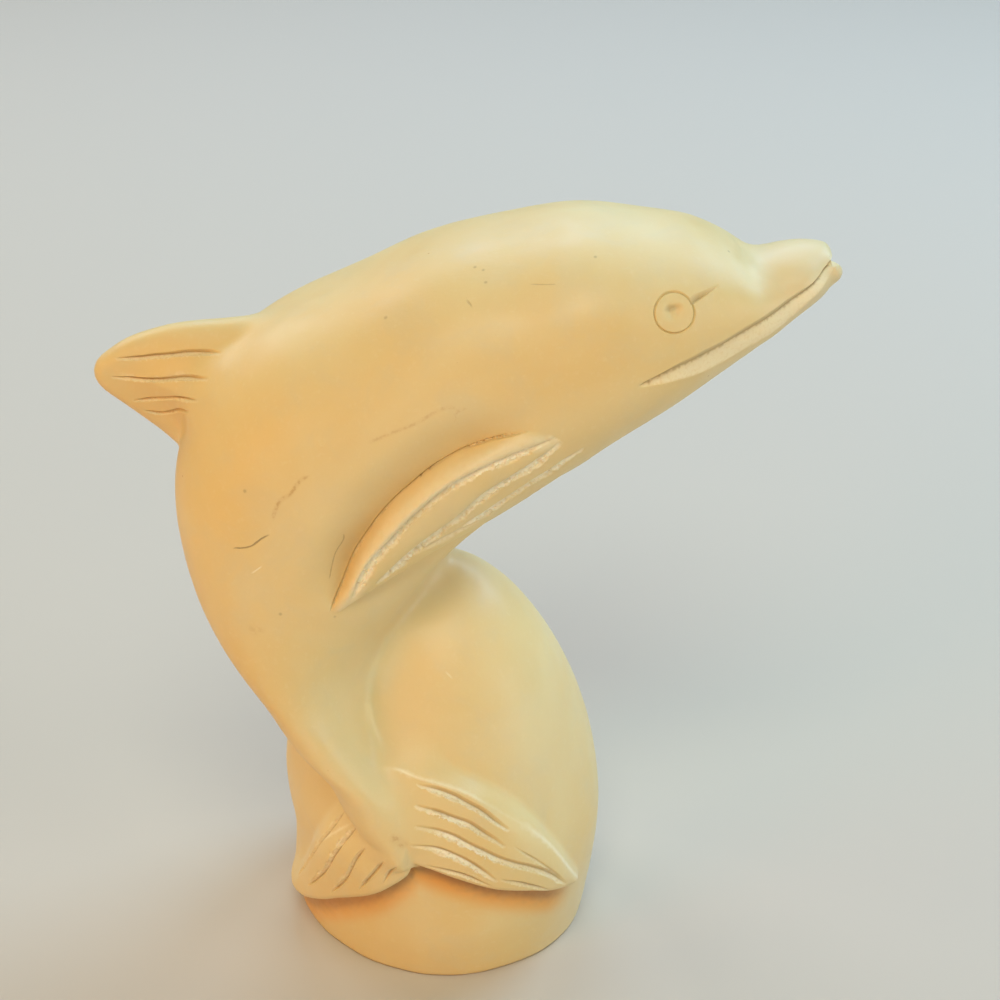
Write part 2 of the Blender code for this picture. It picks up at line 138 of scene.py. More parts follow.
def smooth_line(points, step):
    """A polyline through the points, curved, with about `step` mm a piece."""
    p = np.array(points, float)
    run = np.concatenate(([0.0], np.cumsum(np.hypot(*np.diff(p, axis=0).T))))
    at = np.linspace(0.0, run[-1], max(3, int(round(run[-1] / step)) + 1))
    return np.stack([spline(run, p[:, 0], at), spline(run, p[:, 1], at)], 1)


def hash01(i, j, k, seed):
    h = (i * 374761393 + j * 668265263 + k * 2147483647
         + seed * 974634777) & 0xFFFFFFFF
    h = ((h ^ (h >> 13)) * 1274126177) & 0xFFFFFFFF
    h = ((h ^ (h >> 16)) * 2246822519) & 0xFFFFFFFF
    return ((h ^ (h >> 15)) & 0xFFFFFF) / float(0xFFFFFF)


def noise(x, y, z, size, seed=1):
    """Smooth value noise in -1..1 with cells `size` mm wide."""
    x, y, z = x / size, y / size, z / size
    i, j, k = (np.floor(c).astype(np.int64) for c in (x, y, z))
    f = [c - np.floor(c) for c in (x, y, z)]
    f = [t * t * t * (t * (t * 6.0 - 15.0) + 10.0) for t in f]
    out = 0.0
    for a in (0, 1):
        for b in (0, 1):
            for c in (0, 1):
                w = ((f[0] if a else 1 - f[0]) * (f[1] if b else 1 - f[1])
                     * (f[2] if c else 1 - f[2]))
                out = out + w * hash01(i + a, j + b, k + c, seed)
    return out * 2.0 - 1.0


class Body:
    """The swept body: a field that is about the distance to its skin."""
    COARSE, FINE = 60, 24

    def __init__(self, rows):
        t = np.array(rows, float)
        mid = (t[:, 0:2] + t[:, 2:4]) / 2.0
        run = np.concatenate(([0.0],
                              np.cumsum(np.hypot(*np.diff(mid, axis=0).T))))
        n = self.COARSE * self.FINE + 1
        at = np.linspace(0.0, run[-1], n)
        col = [spline(run, t[:, i], at) for i in range(7)]
        back, belly = np.stack(col[0:2], 1), np.stack(col[2:4], 1)
        self.c = (back + belly) / 2.0
        d = back - belly
        self.a = np.hypot(*d.T) / 2.0
        self.d = d / (2.0 * self.a[:, None])
        self.b, self.m, self.n = np.maximum(col[4], 0.5), col[5], col[6]
        self.length = run[-1]

    def look(self, x, z):
        """Rib index, height along the rib and overrun, for flat arrays."""
        fi, u, over = (np.empty_like(x) for _ in range(3))
        for s in range(0, len(x), 40000):
            e = slice(s, s + 40000)
            fi[e], u[e], over[e] = self._look(x[e], z[e])
        return fi, u, over

    def _look(self, x, z):
        f = self.FINE
        cc, cd, ca = self.c[::f], self.d[::f], self.a[::f]
        gx, gz = x[:, None] - cc[:, 0], z[:, None] - cc[:, 1]
        g = gx * cd[:, 1] - gz * cd[:, 0]
        u = np.abs(gx * cd[:, 0] + gz * cd[:, 1]) / ca
        cross = g[:, :-1] * g[:, 1:] <= 0.0
        cost = np.where(cross, np.minimum(u[:, :-1], u[:, 1:]), 1e9)
        k = np.argmin(cost, 1)
        rows = np.arange(len(x))
        found = cost[rows, k] < 1e8
        near0 = np.hypot(gx[:, 0], gz[:, 0]) < np.hypot(gx[:, -1], gz[:, -1])
        idx = k[:, None] * f + np.arange(f + 1)
        px, pz = x[:, None] - self.c[idx, 0], z[:, None] - self.c[idx, 1]
        g = px * self.d[idx, 1] - pz * self.d[idx, 0]
        cross = g[:, :-1] * g[:, 1:] <= 0.0
        j = np.argmax(cross, 1)
        g0, g1 = g[rows, j], g[rows, j + 1]
        w = np.where(g0 == g1, 0.0, g0 / np.where(g0 == g1, 1.0, g0 - g1))
        fi = np.clip(k * f + j + w, 0, len(self.a) - 1.001)
        last = len(self.a) - 1.001
        fi = np.where(found, fi, np.where(near0, 0.0, last))
        d = self.read(self.d, fi)
        c = self.read(self.c, fi)
        px, pz = x - c[:, 0], z - c[:, 1]
        u = px * d[:, 0] + pz * d[:, 1]
        over = np.where(found, 0.0, np.abs(px * d[:, 1] - pz * d[:, 0]))
        return fi, u, over

    def read(self, arr, fi):
        i = fi.astype(int)
        w = fi - i
        if arr.ndim == 2:
            w = w[:, None]
        return arr[i] * (1 - w) + arr[i + 1] * w

    def field(self, x, y, z, look=None):
        fi, u, over = look if look is not None else self.look(x, z)
        a, b = self.read(self.a, fi), self.read(self.b, fi)
        v = y - self.read(self.m, fi)
        n = self.read(self.n, fi)
        ea, eb = np.abs(u) / a + 1e-9, np.abs(v) / b + 1e-9
        r = (ea ** n + eb ** n) ** (1.0 / n)
        slope = np.hypot((ea / r) ** (n - 1) / a, (eb / r) ** (n - 1) / b)
        f = (r - 1.0) / slope
        f = np.where(over > 0.0, np.hypot(np.maximum(f, 0.0), over), f)
        return f, u / a, v / b, fi


class Line:
    """A curved line in a 2-D chart, with signed distance and position."""

    def __init__(self, points, step=1.2, straight=False):
        self.p = (np.array(points, float) if straight
                  else smooth_line(points, step))
        self.a, self.b = self.p[:-1], self.p[1:]
        d = self.b - self.a
        self.len = np.hypot(*d.T)
        self.d = d / self.len[:, None]
        self.s0 = np.concatenate(([0.0], np.cumsum(self.len)[:-1]))
        self.total = float(self.len.sum())
        self.lo, self.hi = self.p.min(0), self.p.max(0)

    def near(self, u, v, reach):
        return ((u > self.lo[0] - reach) & (u < self.hi[0] + reach)
                & (v > self.lo[1] - reach) & (v < self.hi[1] + reach))

    def at(self, u, v):
        """Signed distance (positive left of the line's run), run length and
        how far past the ends."""
        du, dv = u[:, None] - self.a[:, 0], v[:, None] - self.a[:, 1]
        t = du * self.d[:, 0] + dv * self.d[:, 1]
        tc = np.clip(t, 0.0, self.len)
        q2 = (du - tc * self.d[:, 0]) ** 2 + (dv - tc * self.d[:, 1]) ** 2
        k = np.argmin(q2, 1)
        r = np.arange(len(u))
        side = self.d[k, 0] * dv[r, k] - self.d[k, 1] * du[r, k]
        dist = np.sqrt(q2[r, k])
        return (np.where(side >= 0, dist, -dist), self.s0[k] + tc[r, k])


def inside_polygon(poly, u, v):
    a, b = poly, np.roll(poly, -1, axis=0)
    hit = np.zeros(len(u), bool)
    for (x0, y0), (x1, y1) in zip(a, b):
        if y0 == y1:
            continue
        c = (v >= min(y0, y1)) & (v < max(y0, y1))
        hit ^= c & (u < x0 + (v - y0) * (x1 - x0) / (y1 - y0))
    return hit


def dome_field(x, y, z):
    x = x + 0.35 * (1.0 - smoothstep(z, 2.0, 20.0))
    rho, phi = np.hypot(x, y), np.arctan2(x, -y)
    left = np.maximum(0.0, -np.sin(phi)) ** 2
    full = 0.80 + 0.10 * np.tanh(phi / 0.4)
    rho = rho - (0.45 * np.exp(-((phi + 0.05) / 0.35) ** 2) + 0.12 * noise(
        x, y, z * 0.3, 4.5, 5)) * (1.0 - smoothstep(z, 4.0, 14.0))
    rho = rho - full * np.sin(2.0 * phi) * (1.0 - smoothstep(z, 8.0, 30.0))
    rho = rho - left * smoothstep(z, 1.0, 9.0) * (1 - smoothstep(z, 36., 48.)) * (
        0.4 * np.tanh((z - 22.0) / 4.0) - 0.85 * np.exp(-((z - 13.0) / 5.6) ** 2))
    n = DOME_N
    a = np.maximum(rho / DOME_R, 1e-6)
    c = np.maximum(z - DOME_Z, 0.0) / DOME_H
    q = (a ** n + c ** n) ** (1.0 / n)
    g = np.hypot((a / q) ** (n - 1) / DOME_R, (c / q) ** (n - 1) / DOME_H)
    u = (DOME_Z - z) / DOME_Z
    wide = FOOT_R + (DOME_R - FOOT_R) * (1.0 - u * u)
    lean = 2.0 * (DOME_R - FOOT_R) * u / DOME_Z
    return np.where(z > DOME_Z, (q - 1.0) / g,
                    (rho - wide) / np.sqrt(1.0 + lean * lean))


class Fluke:
    """A blade that lies on the dome, read from a table over the angle."""

    def __init__(self, rows, mirror):
        t = np.array(rows, float)
        if mirror:
            t[:, 0] *= -1.0
        t = t[np.argsort(t[:, 0])]
        self.at = np.linspace(t[0, 0], t[-1, 0], 400)
        self.col = [spline(t[:, 0], t[:, i], self.at) for i in range(1, 6)]
        arc = np.radians(self.at) * 22.0
        self.lean = [np.sqrt(1.0 + np.gradient(c, arc) ** 2) for c in self.col[:3]]
        self.mirror = mirror

    def field(self, deg, z, fd):
        """Field of the blade, depth above its lower edge and the angle."""
        q = -deg if self.mirror else deg
        low, ridge, top, h, hl = (np.interp(q, self.at, c) for c in self.col)
        ll, lr, lt = (np.interp(q, self.at, c) for c in self.lean)
        up = np.clip((z - low) / np.maximum(ridge - low, 0.5), 0.0, 1.0)
        face = fd - (hl + (h - hl) * up + 0.9 * up * (1.0 - up) * np.minimum(h, 1.5))
        steep = h / np.maximum((top - ridge) / lt, 0.4)
        bank = (fd + steep * (z - top) / lt) / np.sqrt(1.0 + steep * steep)
        under = (low - z) / ll + 0.25 * np.clip(1.0 - fd / 2.0, 0.0, 1.0)
        past = np.maximum(q - self.at[-1], self.at[0] - q) * math.pi / 180.0 * 22.0
        # the ridge is crisp but for the middle of the right blade
        round_off = smoothstep(q, 13.0, 20.0) * (1.0 - smoothstep(q, 30.0, 40.0))
        k = 0.22 + 0.9 * (round_off if not self.mirror else 0.8)
        f = soft_max(soft_max(face, bank, k), under, 1.0)
        return soft_max(f, past, 1.0), -under, q


BODY = Body(SECTIONS)
FIN = Line(FIN_OUTLINE, 1.0)
FIN_LOW = Line(((-43.3, 80.3), (-42.5, 79.8), (-40.6, 78.1), (-37.1, 75.4),
                (-34.6, 73.2), (-33.0, 71.5), (-31.0, 69.7)), 1.5)
# where the egg's face breaks into the hollow beside the tail and under the belly
DOME_EDGE = Line(((-5.6, 33.5), (-6.3, 35.5), (-7.4, 37.0), (-7.9, 38.7), (-7.8, 40.4),
                  (-7.0, 44.1), (-5.0, 47.5), (-0.9, 49.6), (4.3, 50.1), (9.5, 48.0)), 1.0)
# what is missing at the tip, where the upper jaw ends before the lower one
TIP_GAP = Line(((48.9, 96.75), (49.35, 97.2), (49.3, 97.9), (48.6, 98.7), (48.9, 102.0),
                (54.0, 102.0), (54.0, 94.0), (51.1, 94.6), (50.5, 95.5), (49.8, 96.2),
                (48.9, 96.75)), straight=True)
FLIP_TOP, FLIP_LOW = Line(FLIPPER_TOP, 1.0), Line(FLIPPER_LOW, 1.2)
BAND_1 = Line(((-11.5, 56.5), (-9.9, 59.4), (-9.5, 60.6), (-8.1, 63.7), (-6.0, 66.6),
               (-2.0, 71.1), (2.7, 75.3), (8.4, 78.1), (14.1, 79.9), (17.0, 80.6)), 1.2)
BAND_2 = Line(((-9.5, 57.5), (-7.0, 60.8), (-4.5, 63.3), (-1.0, 66.6), (2.6, 69.4),
               (6.8, 73.4), (10.7, 75.8), (14.7, 78.9), (18.0, 81.0)), 1.2)
FLIP_RING = np.vstack([FLIP_TOP.p, FLIP_LOW.p[::-1]])
FLUKES = (Fluke(RIGHT_FLUKE, False), Fluke(LEFT_FLUKE, True))


class Groove:
    """A V cut.  Left of the line's run is its steep wall, right the slack
    one, which the gouge tore: chip is how ragged, flake how patchy."""

    def __init__(self, points, depth=0.6, steep=0.25, slack=0.7, chip=1.0,
                 taper=2.5, seed=0, flake=0.0, widths=None, left_chip=0.0,
                 lips=None, fine=0.23, fresh=0.0):
        self.line = Line(points, 0.9)
        self.depth, self.steep, self.slack = depth, steep, slack
        self.chip, self.taper, self.seed = chip, taper, seed
        self.flake, self.widths, self.left_chip = flake, widths, left_chip
        self.lips, self.fine, self.fresh = lips, fine, fresh
        top = slack * (max(w for _, w in widths) if widths else 1.0)
        self.reach = top * 1.7 + 0.8

    def walls(self, u, v):
        """Distance from the bottom of the cut, run, taper, width of the steep
        wall, width of the slack one and how torn it is."""
        d, s = self.line.at(u, v)
        one = s * 0.0
        d = d + 0.07 * noise(s, one, one + self.seed * 7.3, 2.3, 11)
        end = np.minimum(s, self.line.total - s)
        t = smoothstep(end, -0.3, self.taper) * 0.85 + 0.15
        slack = self.slack * (0.45 + 0.55 * t)
        if self.widths:
            at, w = zip(*self.widths)
            slack = self.slack * np.interp(s / self.line.total, at, w)
        steep = self.steep * (0.5 + 0.5 * t)
        if self.lips:
            at, w = zip(*self.lips)
            steep = self.steep * np.interp(s / self.line.total, at, w)
        saw = (0.65 * noise(s, one, one + self.seed, 0.5, 21)
               + 0.55 * noise(s, one, one + self.seed, 1.7, 22))
        lively = smoothstep(noise(s, one, one + self.seed * 3.1, 4.5, 23), -0.5, 0.4)
        wide = slack * (1.0 + self.chip * (0.15 + 0.75 * saw * lively))
        return (d, s, t, steep, np.maximum(wide, 0.3 * slack), slack, lively)

    def cut(self, u, v):
        """Depth cut away, and how raw the stone is there."""
        d, s, t, steep, wide, slack, lively = self.walls(u, v)
        one = s * 0.0
        left = np.clip(1.0 - d / steep, 0.0, 1.0)
        right = np.clip(1.0 + d / wide, 0.0, 1.0)
        f = np.where(d > 0, left, right)
        # ridges the tool left across the slack wall
        rib = noise(s, d * 0.4, one + self.seed, 0.45, 24)
        wall = np.where(d > 0, 0.0, smoothstep(-d, 0.05, 0.25)
                        * (1.0 - smoothstep(-d, wide - 0.05, wide + 0.12)))
        cut = self.depth * t * f + self.chip * 0.12 * rib * wall * lively
        raw = self.chip * wall * (0.35 + 0.65 * lively)
        if self.fresh:
            raw = np.maximum(raw, self.fresh * t * np.where(d > 0, 0.0, smoothstep(
                -d, 0.02, 0.2) * (1.0 - smoothstep(-d, wide - 0.12, wide + 0.04))))
        if self.flake:
            p = (0.75 * noise(s, d * 1.6, one + self.seed, 1.9, 25)
                 + 0.45 * noise(s, d, one + self.seed, 0.7, 28))
            band = (smoothstep(-d, -0.05, 0.2)
                    * (1 - smoothstep(-d, 1.1 * slack, 2.1 * slack)))
            patch = smoothstep(p * band * t, 0.10, 0.22)
            ridge = noise(s * 1.0, d * 1.0, one, 0.42, 26)
            cut = cut + self.flake * patch * (0.17 + 0.13 * ridge)
            raw = np.maximum(raw, self.flake * patch)
        if self.left_chip:
            p = noise(s, d * 2.0, one + self.seed, 1.1, 27)
            band = smoothstep(d, 0.05, 0.2) * (1 - smoothstep(d, 0.35, 0.8))
            patch = smoothstep(p, 0.2, 0.4) * band * t
            cut = cut + self.left_chip * patch * 0.13
            raw = np.maximum(raw, 0.7 * self.left_chip * patch)
        far = np.where(d > 0, -4.0 * d, -d / np.maximum(slack, 0.2))
        on = np.clip(self.chip, 0.0, 1.0) * t * (0.55 + 0.45 * lively) * np.where(
            d > 0, 1.0 - smoothstep(d, 0.1, 0.5), 1.0 - smoothstep(-d, 2.0 * slack, 2.7 * slack))
        # painted shade lies on the steep wall, darkest at the bottom, standing in for the shadow in the cut
        recess_shade = t * np.where(d > 0, 0.55 * smoothstep(1.0 - d / steep, 0.0, 0.35)
                             + 0.45 * smoothstep(1.0 - d / steep, 0.45, 1.0),
                             smoothstep(d, -0.16, -0.01))
        return cut, np.clip(raw, 0.0, 1.0), far, on, recess_shade * min(1.0, self.depth / 0.4)


# Cuts on the flanks, in (x, z), run so that the steep wall is uppermost.
FLANK_CUTS = (
    # mouth
    Groove(((24.9, 86.3), (26.2, 86.7), (27.7, 87.1), (30.1, 87.8), (31.9, 88.3), (34.6, 89.1),
            (37.4, 90.3), (40.2, 91.4), (42.6, 92.6), (45.2, 94.2), (46.9, 95.2), (47.8, 96.1),
            (48.5, 96.8), (49.2, 97.2), (50.4, 97.4)), 0.80, 1.0, 1.0, 0.0, 1.6, seed=1,
           fresh=0.9,
           widths=((0.0, 0.3), (0.1, 1.1), (0.2, 1.8), (0.3, 2.1), (0.45, 2.2),
                   (0.57, 2.3), (0.7, 1.8), (0.85, 1.1), (1.0, 0.5)),
           lips=((0.0, 0.25), (0.1, 0.6), (0.2, 0.95), (0.27, 1.15), (0.5, 1.05), (0.7, 0.8),
                 (0.82, 0.5), (0.92, 0.3), (1.0, 0.3)), fine=0.38),
    # corner of the eye
    Groove(((29.6, 94.8), (31.0, 95.4), (31.9, 95.75), (32.9, 96.1), (34.1, 96.5)), 0.5, 0.8,
           0.25, 0.0, 3.0, seed=2, lips=((0.0, 1.0), (0.35, 0.95), (1.0, 0.2)),
           widths=((0.0, 1.0), (1.0, 0.6))),
    # flipper
    Groove(((-9.9, 59.4), (-9.5, 60.6), (-8.1, 63.7), (-6.0, 66.6), (-2.0, 71.1), (2.7, 75.3),
            (8.4, 78.1), (14.1, 79.9)), 0.36, 0.26, 0.56, 1.0, 3.0, seed=4, flake=0.8),
    Groove(((-7.0, 60.8), (-4.5, 63.3), (-1.0, 66.6), (2.6, 69.4), (6.8, 73.4),
            (10.7, 75.8), (14.7, 78.9)), 0.38, 0.26, 0.60, 1.0, 3.0, seed=5, flake=0.9),
    Groove(((2.8, 67.3), (5.6, 69.3), (8.4, 71.2), (14.2, 75.1), (17.9, 77.5)),
           0.34, 0.22, 0.56, 1.0, 3.0, seed=6, flake=0.9),
    Groove(((-2.1, 64.5), (1.4, 66.3), (5.4, 68.2)), 0.2, 0.35, 0.45, 0.4, 3.0, seed=7, flake=0.5),
    Groove(tuple((x - 0.05, z + 0.05) for x, z in FLIPPER_TOP[:-1]), 0.20, 0.26, 0.16,
           0.0, 2.0, seed=3),
    # dorsal fin
    Groove(((-39.6, 84.1), (-35.7, 84.6), (-32.1, 85.3), (-29.3, 85.7),
            (-26.4, 85.95)), 0.5, 0.25, 0.44, 0.3, 2.6, seed=8, fresh=0.5),
    Groove(((-40.3, 81.6), (-37.3, 81.55), (-33.5, 82.1), (-30.8, 82.8),
            (-27.9, 83.5)), 0.5, 0.25, 0.40, 0.28, 2.6, seed=9, left_chip=0.6, fresh=0.5),
    Groove(((-37.9, 78.4), (-35.0, 79.0), (-32.3, 79.9), (-29.2, 81.0)),
           0.45, 0.25, 0.38, 0.25, 2.2, seed=10, fresh=0.5),
    Groove(((-36.8, 77.0), (-34.2, 76.9), (-32.2, 78.0), (-30.4, 79.2)), 0.45, 0.22, 0.36, 0.2, 2.0,
           seed=11, fresh=0.5),
)
EYE, EYE_CUT = (28.8, 94.6, 2.43), 0.17
MELON = Line(((38.6, -2.0), (38.5, 0.0), (37.9, 2.6), (37.0, 5.4), (35.8, 7.8), (34.5, 9.2)), 0.8)

# Cuts on the flukes, in (arc mm at radius 22, z).
ARC = math.radians(1.0) * 22.0


def fluke_line(points):
    return tuple((a * ARC, z) for a, z in points)


FLUKE_CUTS = (
    Groove(fluke_line(((-6, 32.4), (3, 31.4), (13, 29.2), (23, 25.5))), 0.5, 0.48, 0.45, 1.0, 3.4, seed=21),
    Groove(fluke_line(((-6, 29.9), (2, 28.8), (10, 27.3), (21, 23.5))), 0.52, 0.50, 0.48, 1.0, 3.4, seed=22),
    Groove(fluke_line(((-6, 27.3), (3, 26.2), (12, 24.0), (19, 22.0),
                       (29, 19.4), (37, 16.8), (44, 13.7))), 0.52, 0.50, 0.50, 1.0, 3.4, seed=23),
    Groove(fluke_line(((-7, 24.7), (0, 24.1), (7, 22.7), (18, 18.8))), 0.50, 0.48, 0.48, 1.0, 3.4, seed=24),
    Groove(fluke_line(((-3, 21.5), (5, 20.6), (16, 18.0))), 0.45, 0.42, 0.35, 0.5, 3.0, seed=25),
    Groove(fluke_line(((25, 22.8), (32, 19.9), (41, 15.7))), 0.2, 0.2, 0.32, 0.4, 2.6, seed=26),
    Groove(fluke_line(((20, 18.6), (26, 17.2), (37, 14.0))), 0.4, 0.36, 0.35, 0.6, 2.6, seed=27),
    Groove(fluke_line(((-34, 25.7), (-45, 18.7), (-65, 8.5))), 0.42, 0.22, 0.34, 0.2, 2.4, seed=28, flake=0.6, fresh=0.7),
    Groove(fluke_line(((-27, 25.0), (-31, 22.7), (-36, 19.1), (-41, 15.6),
                       (-54, 9.9))), 0.46, 0.24, 0.40, 0.3, 2.4, seed=29, flake=1.0, fresh=0.7),
    Groove(fluke_line(((-23, 22.7), (-27, 20.0), (-30, 17.2), (-39, 12.3))), 0.44, 0.22, 0.36, 0.25, 2.2, seed=30, flake=0.5, fresh=0.7),
    Groove(fluke_line(((-16, 22.0), (-20, 19.3), (-26, 15.6))), 0.42, 0.22, 0.36, 0.2, 2.0, seed=31, fresh=0.7),
    Groove(fluke_line(((-12, 21.8), (-17, 18.1))), 0.35, 0.2, 0.34, 0.2, 1.6, seed=32, fresh=0.7),
)


def eye_radius(x, z):
    """Distance from the middle of the eye, in the slant plane it lies in."""
    return np.hypot(x - EYE[0], 1.12 * (z - EYE[1] + 0.138 * (x - EYE[0])))


def carving(x, y, z):
    """The field of the carving's smooth skin in millimetres, negative inside."""
    look = BODY.look(x, z)
    fb, un, vn, fi = BODY.field(x, y, z, look)
    fd = dome_field(x, y, z)
    phi = np.degrees(np.arctan2(x, -y))
    front = y < 6.0

    # the flipper stands on the flank; the flank is hollowed along its edge
    fbody = fb
    near = FLIP_TOP.near(x, z, 13.0) & (np.abs(vn) > 0.2)
    if near.any():
        i = np.nonzero(near)[0]
        xs, zs, side = x[i], z[i], np.abs(vn[i])
        dt, st = FLIP_TOP.at(xs, zs)
        dl, sl = FLIP_LOW.at(xs, zs)
        ins = inside_polygon(FLIP_RING, xs, zs)
        dt, dl = np.abs(dt), np.abs(dl)
        d2 = np.where(ins, -1.0, 1.0) * np.minimum(dt, dl)
        wt, wl = st / FLIP_TOP.total, sl / FLIP_LOW.total
        at = 2.4 * smoothstep(wt, -0.06, 0.24) * (1.0 - smoothstep(wt, 0.72, 1.0))
        al = 1.5 * smoothstep(wl, 0.0, 0.25) * (1.0 - smoothstep(wl, 0.55, 0.95))
        ht = at * (1.0 - smoothstep(np.where(ins, 0.0, dt), -1.5, 6.8))
        hl = al * np.exp(-np.where(ins, 0.0, dl / 2.6) ** 2)
        upper = smoothstep(dl - dt, -1.4, 1.4)
        hollow = np.where(ins, np.maximum(ht, hl), ht * upper + hl * (1.0 - upper))
        hollow = hollow * smoothstep(side, 0.25, 0.5)
        # three bands, each lower than the one above, with pillowed edges
        w = 0.5 * (wt + wl)
        d1, _ = BAND_1.at(xs, zs)
        d3, _ = BAND_2.at(xs, zs)
        level = 0.5 + 0.42 * smoothstep(d1, -0.15, 0.85) + 0.22 * smoothstep(d3, -0.15, 0.7)
        t1 = dt / (dt + np.abs(d1) + 0.01)
        t2 = np.abs(d1) / (np.abs(d1) + np.abs(d3) + 0.01)
        pillow = np.where(d1 > 0, 0.45 * 4.0 * t1 * (1.0 - t1),
                          np.where(d3 > 0, 0.22 * 4.0 * t2 * (1.0 - t2), 0.0))
        turn = 1.0 - np.clip(dt / 2.1, 0.0, 1.0)
        rise = (level + pillow) * (1.0 - 0.5 * np.exp(-dl / 0.8)) - (
            level + 0.92 * at) * turn ** 2.2
        rise = rise * (0.15 + 0.85 * smoothstep(w, -0.02, 0.14)) * (1 - 0.55 * smoothstep(w, 0.62, 0.92))
        rise = rise - 0.5 * smoothstep(w, 0.92, 1.02)
        flip = soft_max(fb[i] - rise, d2, 0.25)
        flip = soft_max(flip, (0.40 - side) * 18.0, 1.0)
        fbody = fb.copy()
        fbody[i] = soft_min(fb[i] + hollow, flip, 0.15)

    near = TIP_GAP.near(x, z, 3.0)
    if near.any():
        i = np.nonzero(near)[0]
        # the cut falls away to the far side
        h = z[i] + 0.42 * (y[i] + 2.0) * (1.0 - smoothstep(z[i], 96.0, 97.4))
        gap, _ = TIP_GAP.at(x[i], h)
        gap = np.abs(gap) * np.where(inside_polygon(TIP_GAP.p[:-1], x[i], h), 1.0, -1.0)
        fbody = fbody.copy()
        fbody[i] = soft_max(fbody[i], gap, 0.45)

    # dorsal fin: a blade that swells into the flanks
    f = fbody
    near = FIN.near(x, z, 9.0)
    if near.any():
        i = np.nonzero(near)[0]
        xs, zs = x[i], z[i]
        d, _ = FIN.at(xs, zs)
        d = np.abs(d) * np.where(inside_polygon(FIN.p, xs, zs), -1.0, 1.0)
        dl, _ = FIN_LOW.at(xs, zs)
        dl = np.abs(dl)
        swell = np.clip((xs + 43.0) / 17.0, 0.0, 1.0) ** 1.6
        half = 1.75 + 5.6 * swell * smoothstep(-d, -1.0, 8.0) * smoothstep(dl, -2.0, 7.0)
        fin = soft_max(d, np.abs(y[i] + 1.4) - half, 1.9)
        side = smoothstep(np.abs(y[i] + 1.4), 1.5, 8.0)
        crest = 0.55 * smoothstep(zs, 84.5, 87.5)
        k = 0.7 + (2.0 * (1.0 - crest) + 3.3 * side) * smoothstep(dl, 0.8, 7.0)
        f = fbody.copy()
        f[i] = soft_min(fbody[i], fin, k)

    # dome: a wide hollow under the belly, a tight corner behind the stock
    wide = 4.8 * (1.0 - smoothstep(x, -1.0, 8.0)) * smoothstep(z, 34.0, 44.0)
    mid = 3.2 * smoothstep(-un, -0.2, 0.7) * (1.0 - smoothstep(z, 38.0, 50.0)) * (
        1.0 - smoothstep(x, -2.0, 6.0))
    tight = smoothstep(un, 0.1, 0.5) * (1.0 - smoothstep(z, 40.0, 47.0))
    k = 0.7 + np.maximum(wide, mid) * (1.0 - 0.95 * tight)
    egg = fd
    near = DOME_EDGE.near(x, z, 9.0) & (y < 0.0) & (np.abs(fd) < 8.0)
    if near.any():
        i = np.nonzero(near)[0]
        d, s = DOME_EDGE.at(x[i], z[i])
        s = s / DOME_EDGE.total
        deep = 1.5 * smoothstep(s, 0.0, 0.2) * (1.0 - smoothstep(s, 0.5, 1.0))
        deep = deep * smoothstep(d, -0.6, 2.2) * (1.0 - smoothstep(d, 4.0, 9.0))
        egg = fd.copy()
        egg[i] += deep * smoothstep(-y[i], 1.0, 6.0)
    f = soft_min(f, egg, k)

    # flukes
    band = (z > 3.0) & (z < 40.0) & (y < 8.0) & (np.abs(phi) < 95.0) & (fd < 8.0)
    if band.any():
        i = np.nonzero(band)[0]
        for fluke in FLUKES:
            blade, up, q = fluke.field(phi[i], z[i], fd[i])
            if fluke.mirror:
                k = 0.35 + 2.6 * (1.0 - smoothstep(z[i], 21.5, 26.0)) * (
                    1.0 - smoothstep(q, 20.0, 34.0)) * smoothstep(up, 0.5, 3.0)
            else:
                k = 0.45 + 2.4 * (1.0 - smoothstep(q, -4.0, 8.0)) * smoothstep(up, 0.5, 4.0)
            f[i] = soft_min(f[i], blade, k)

    # flat foot with its edge just broken
    return soft_max(f, -z, 0.7)


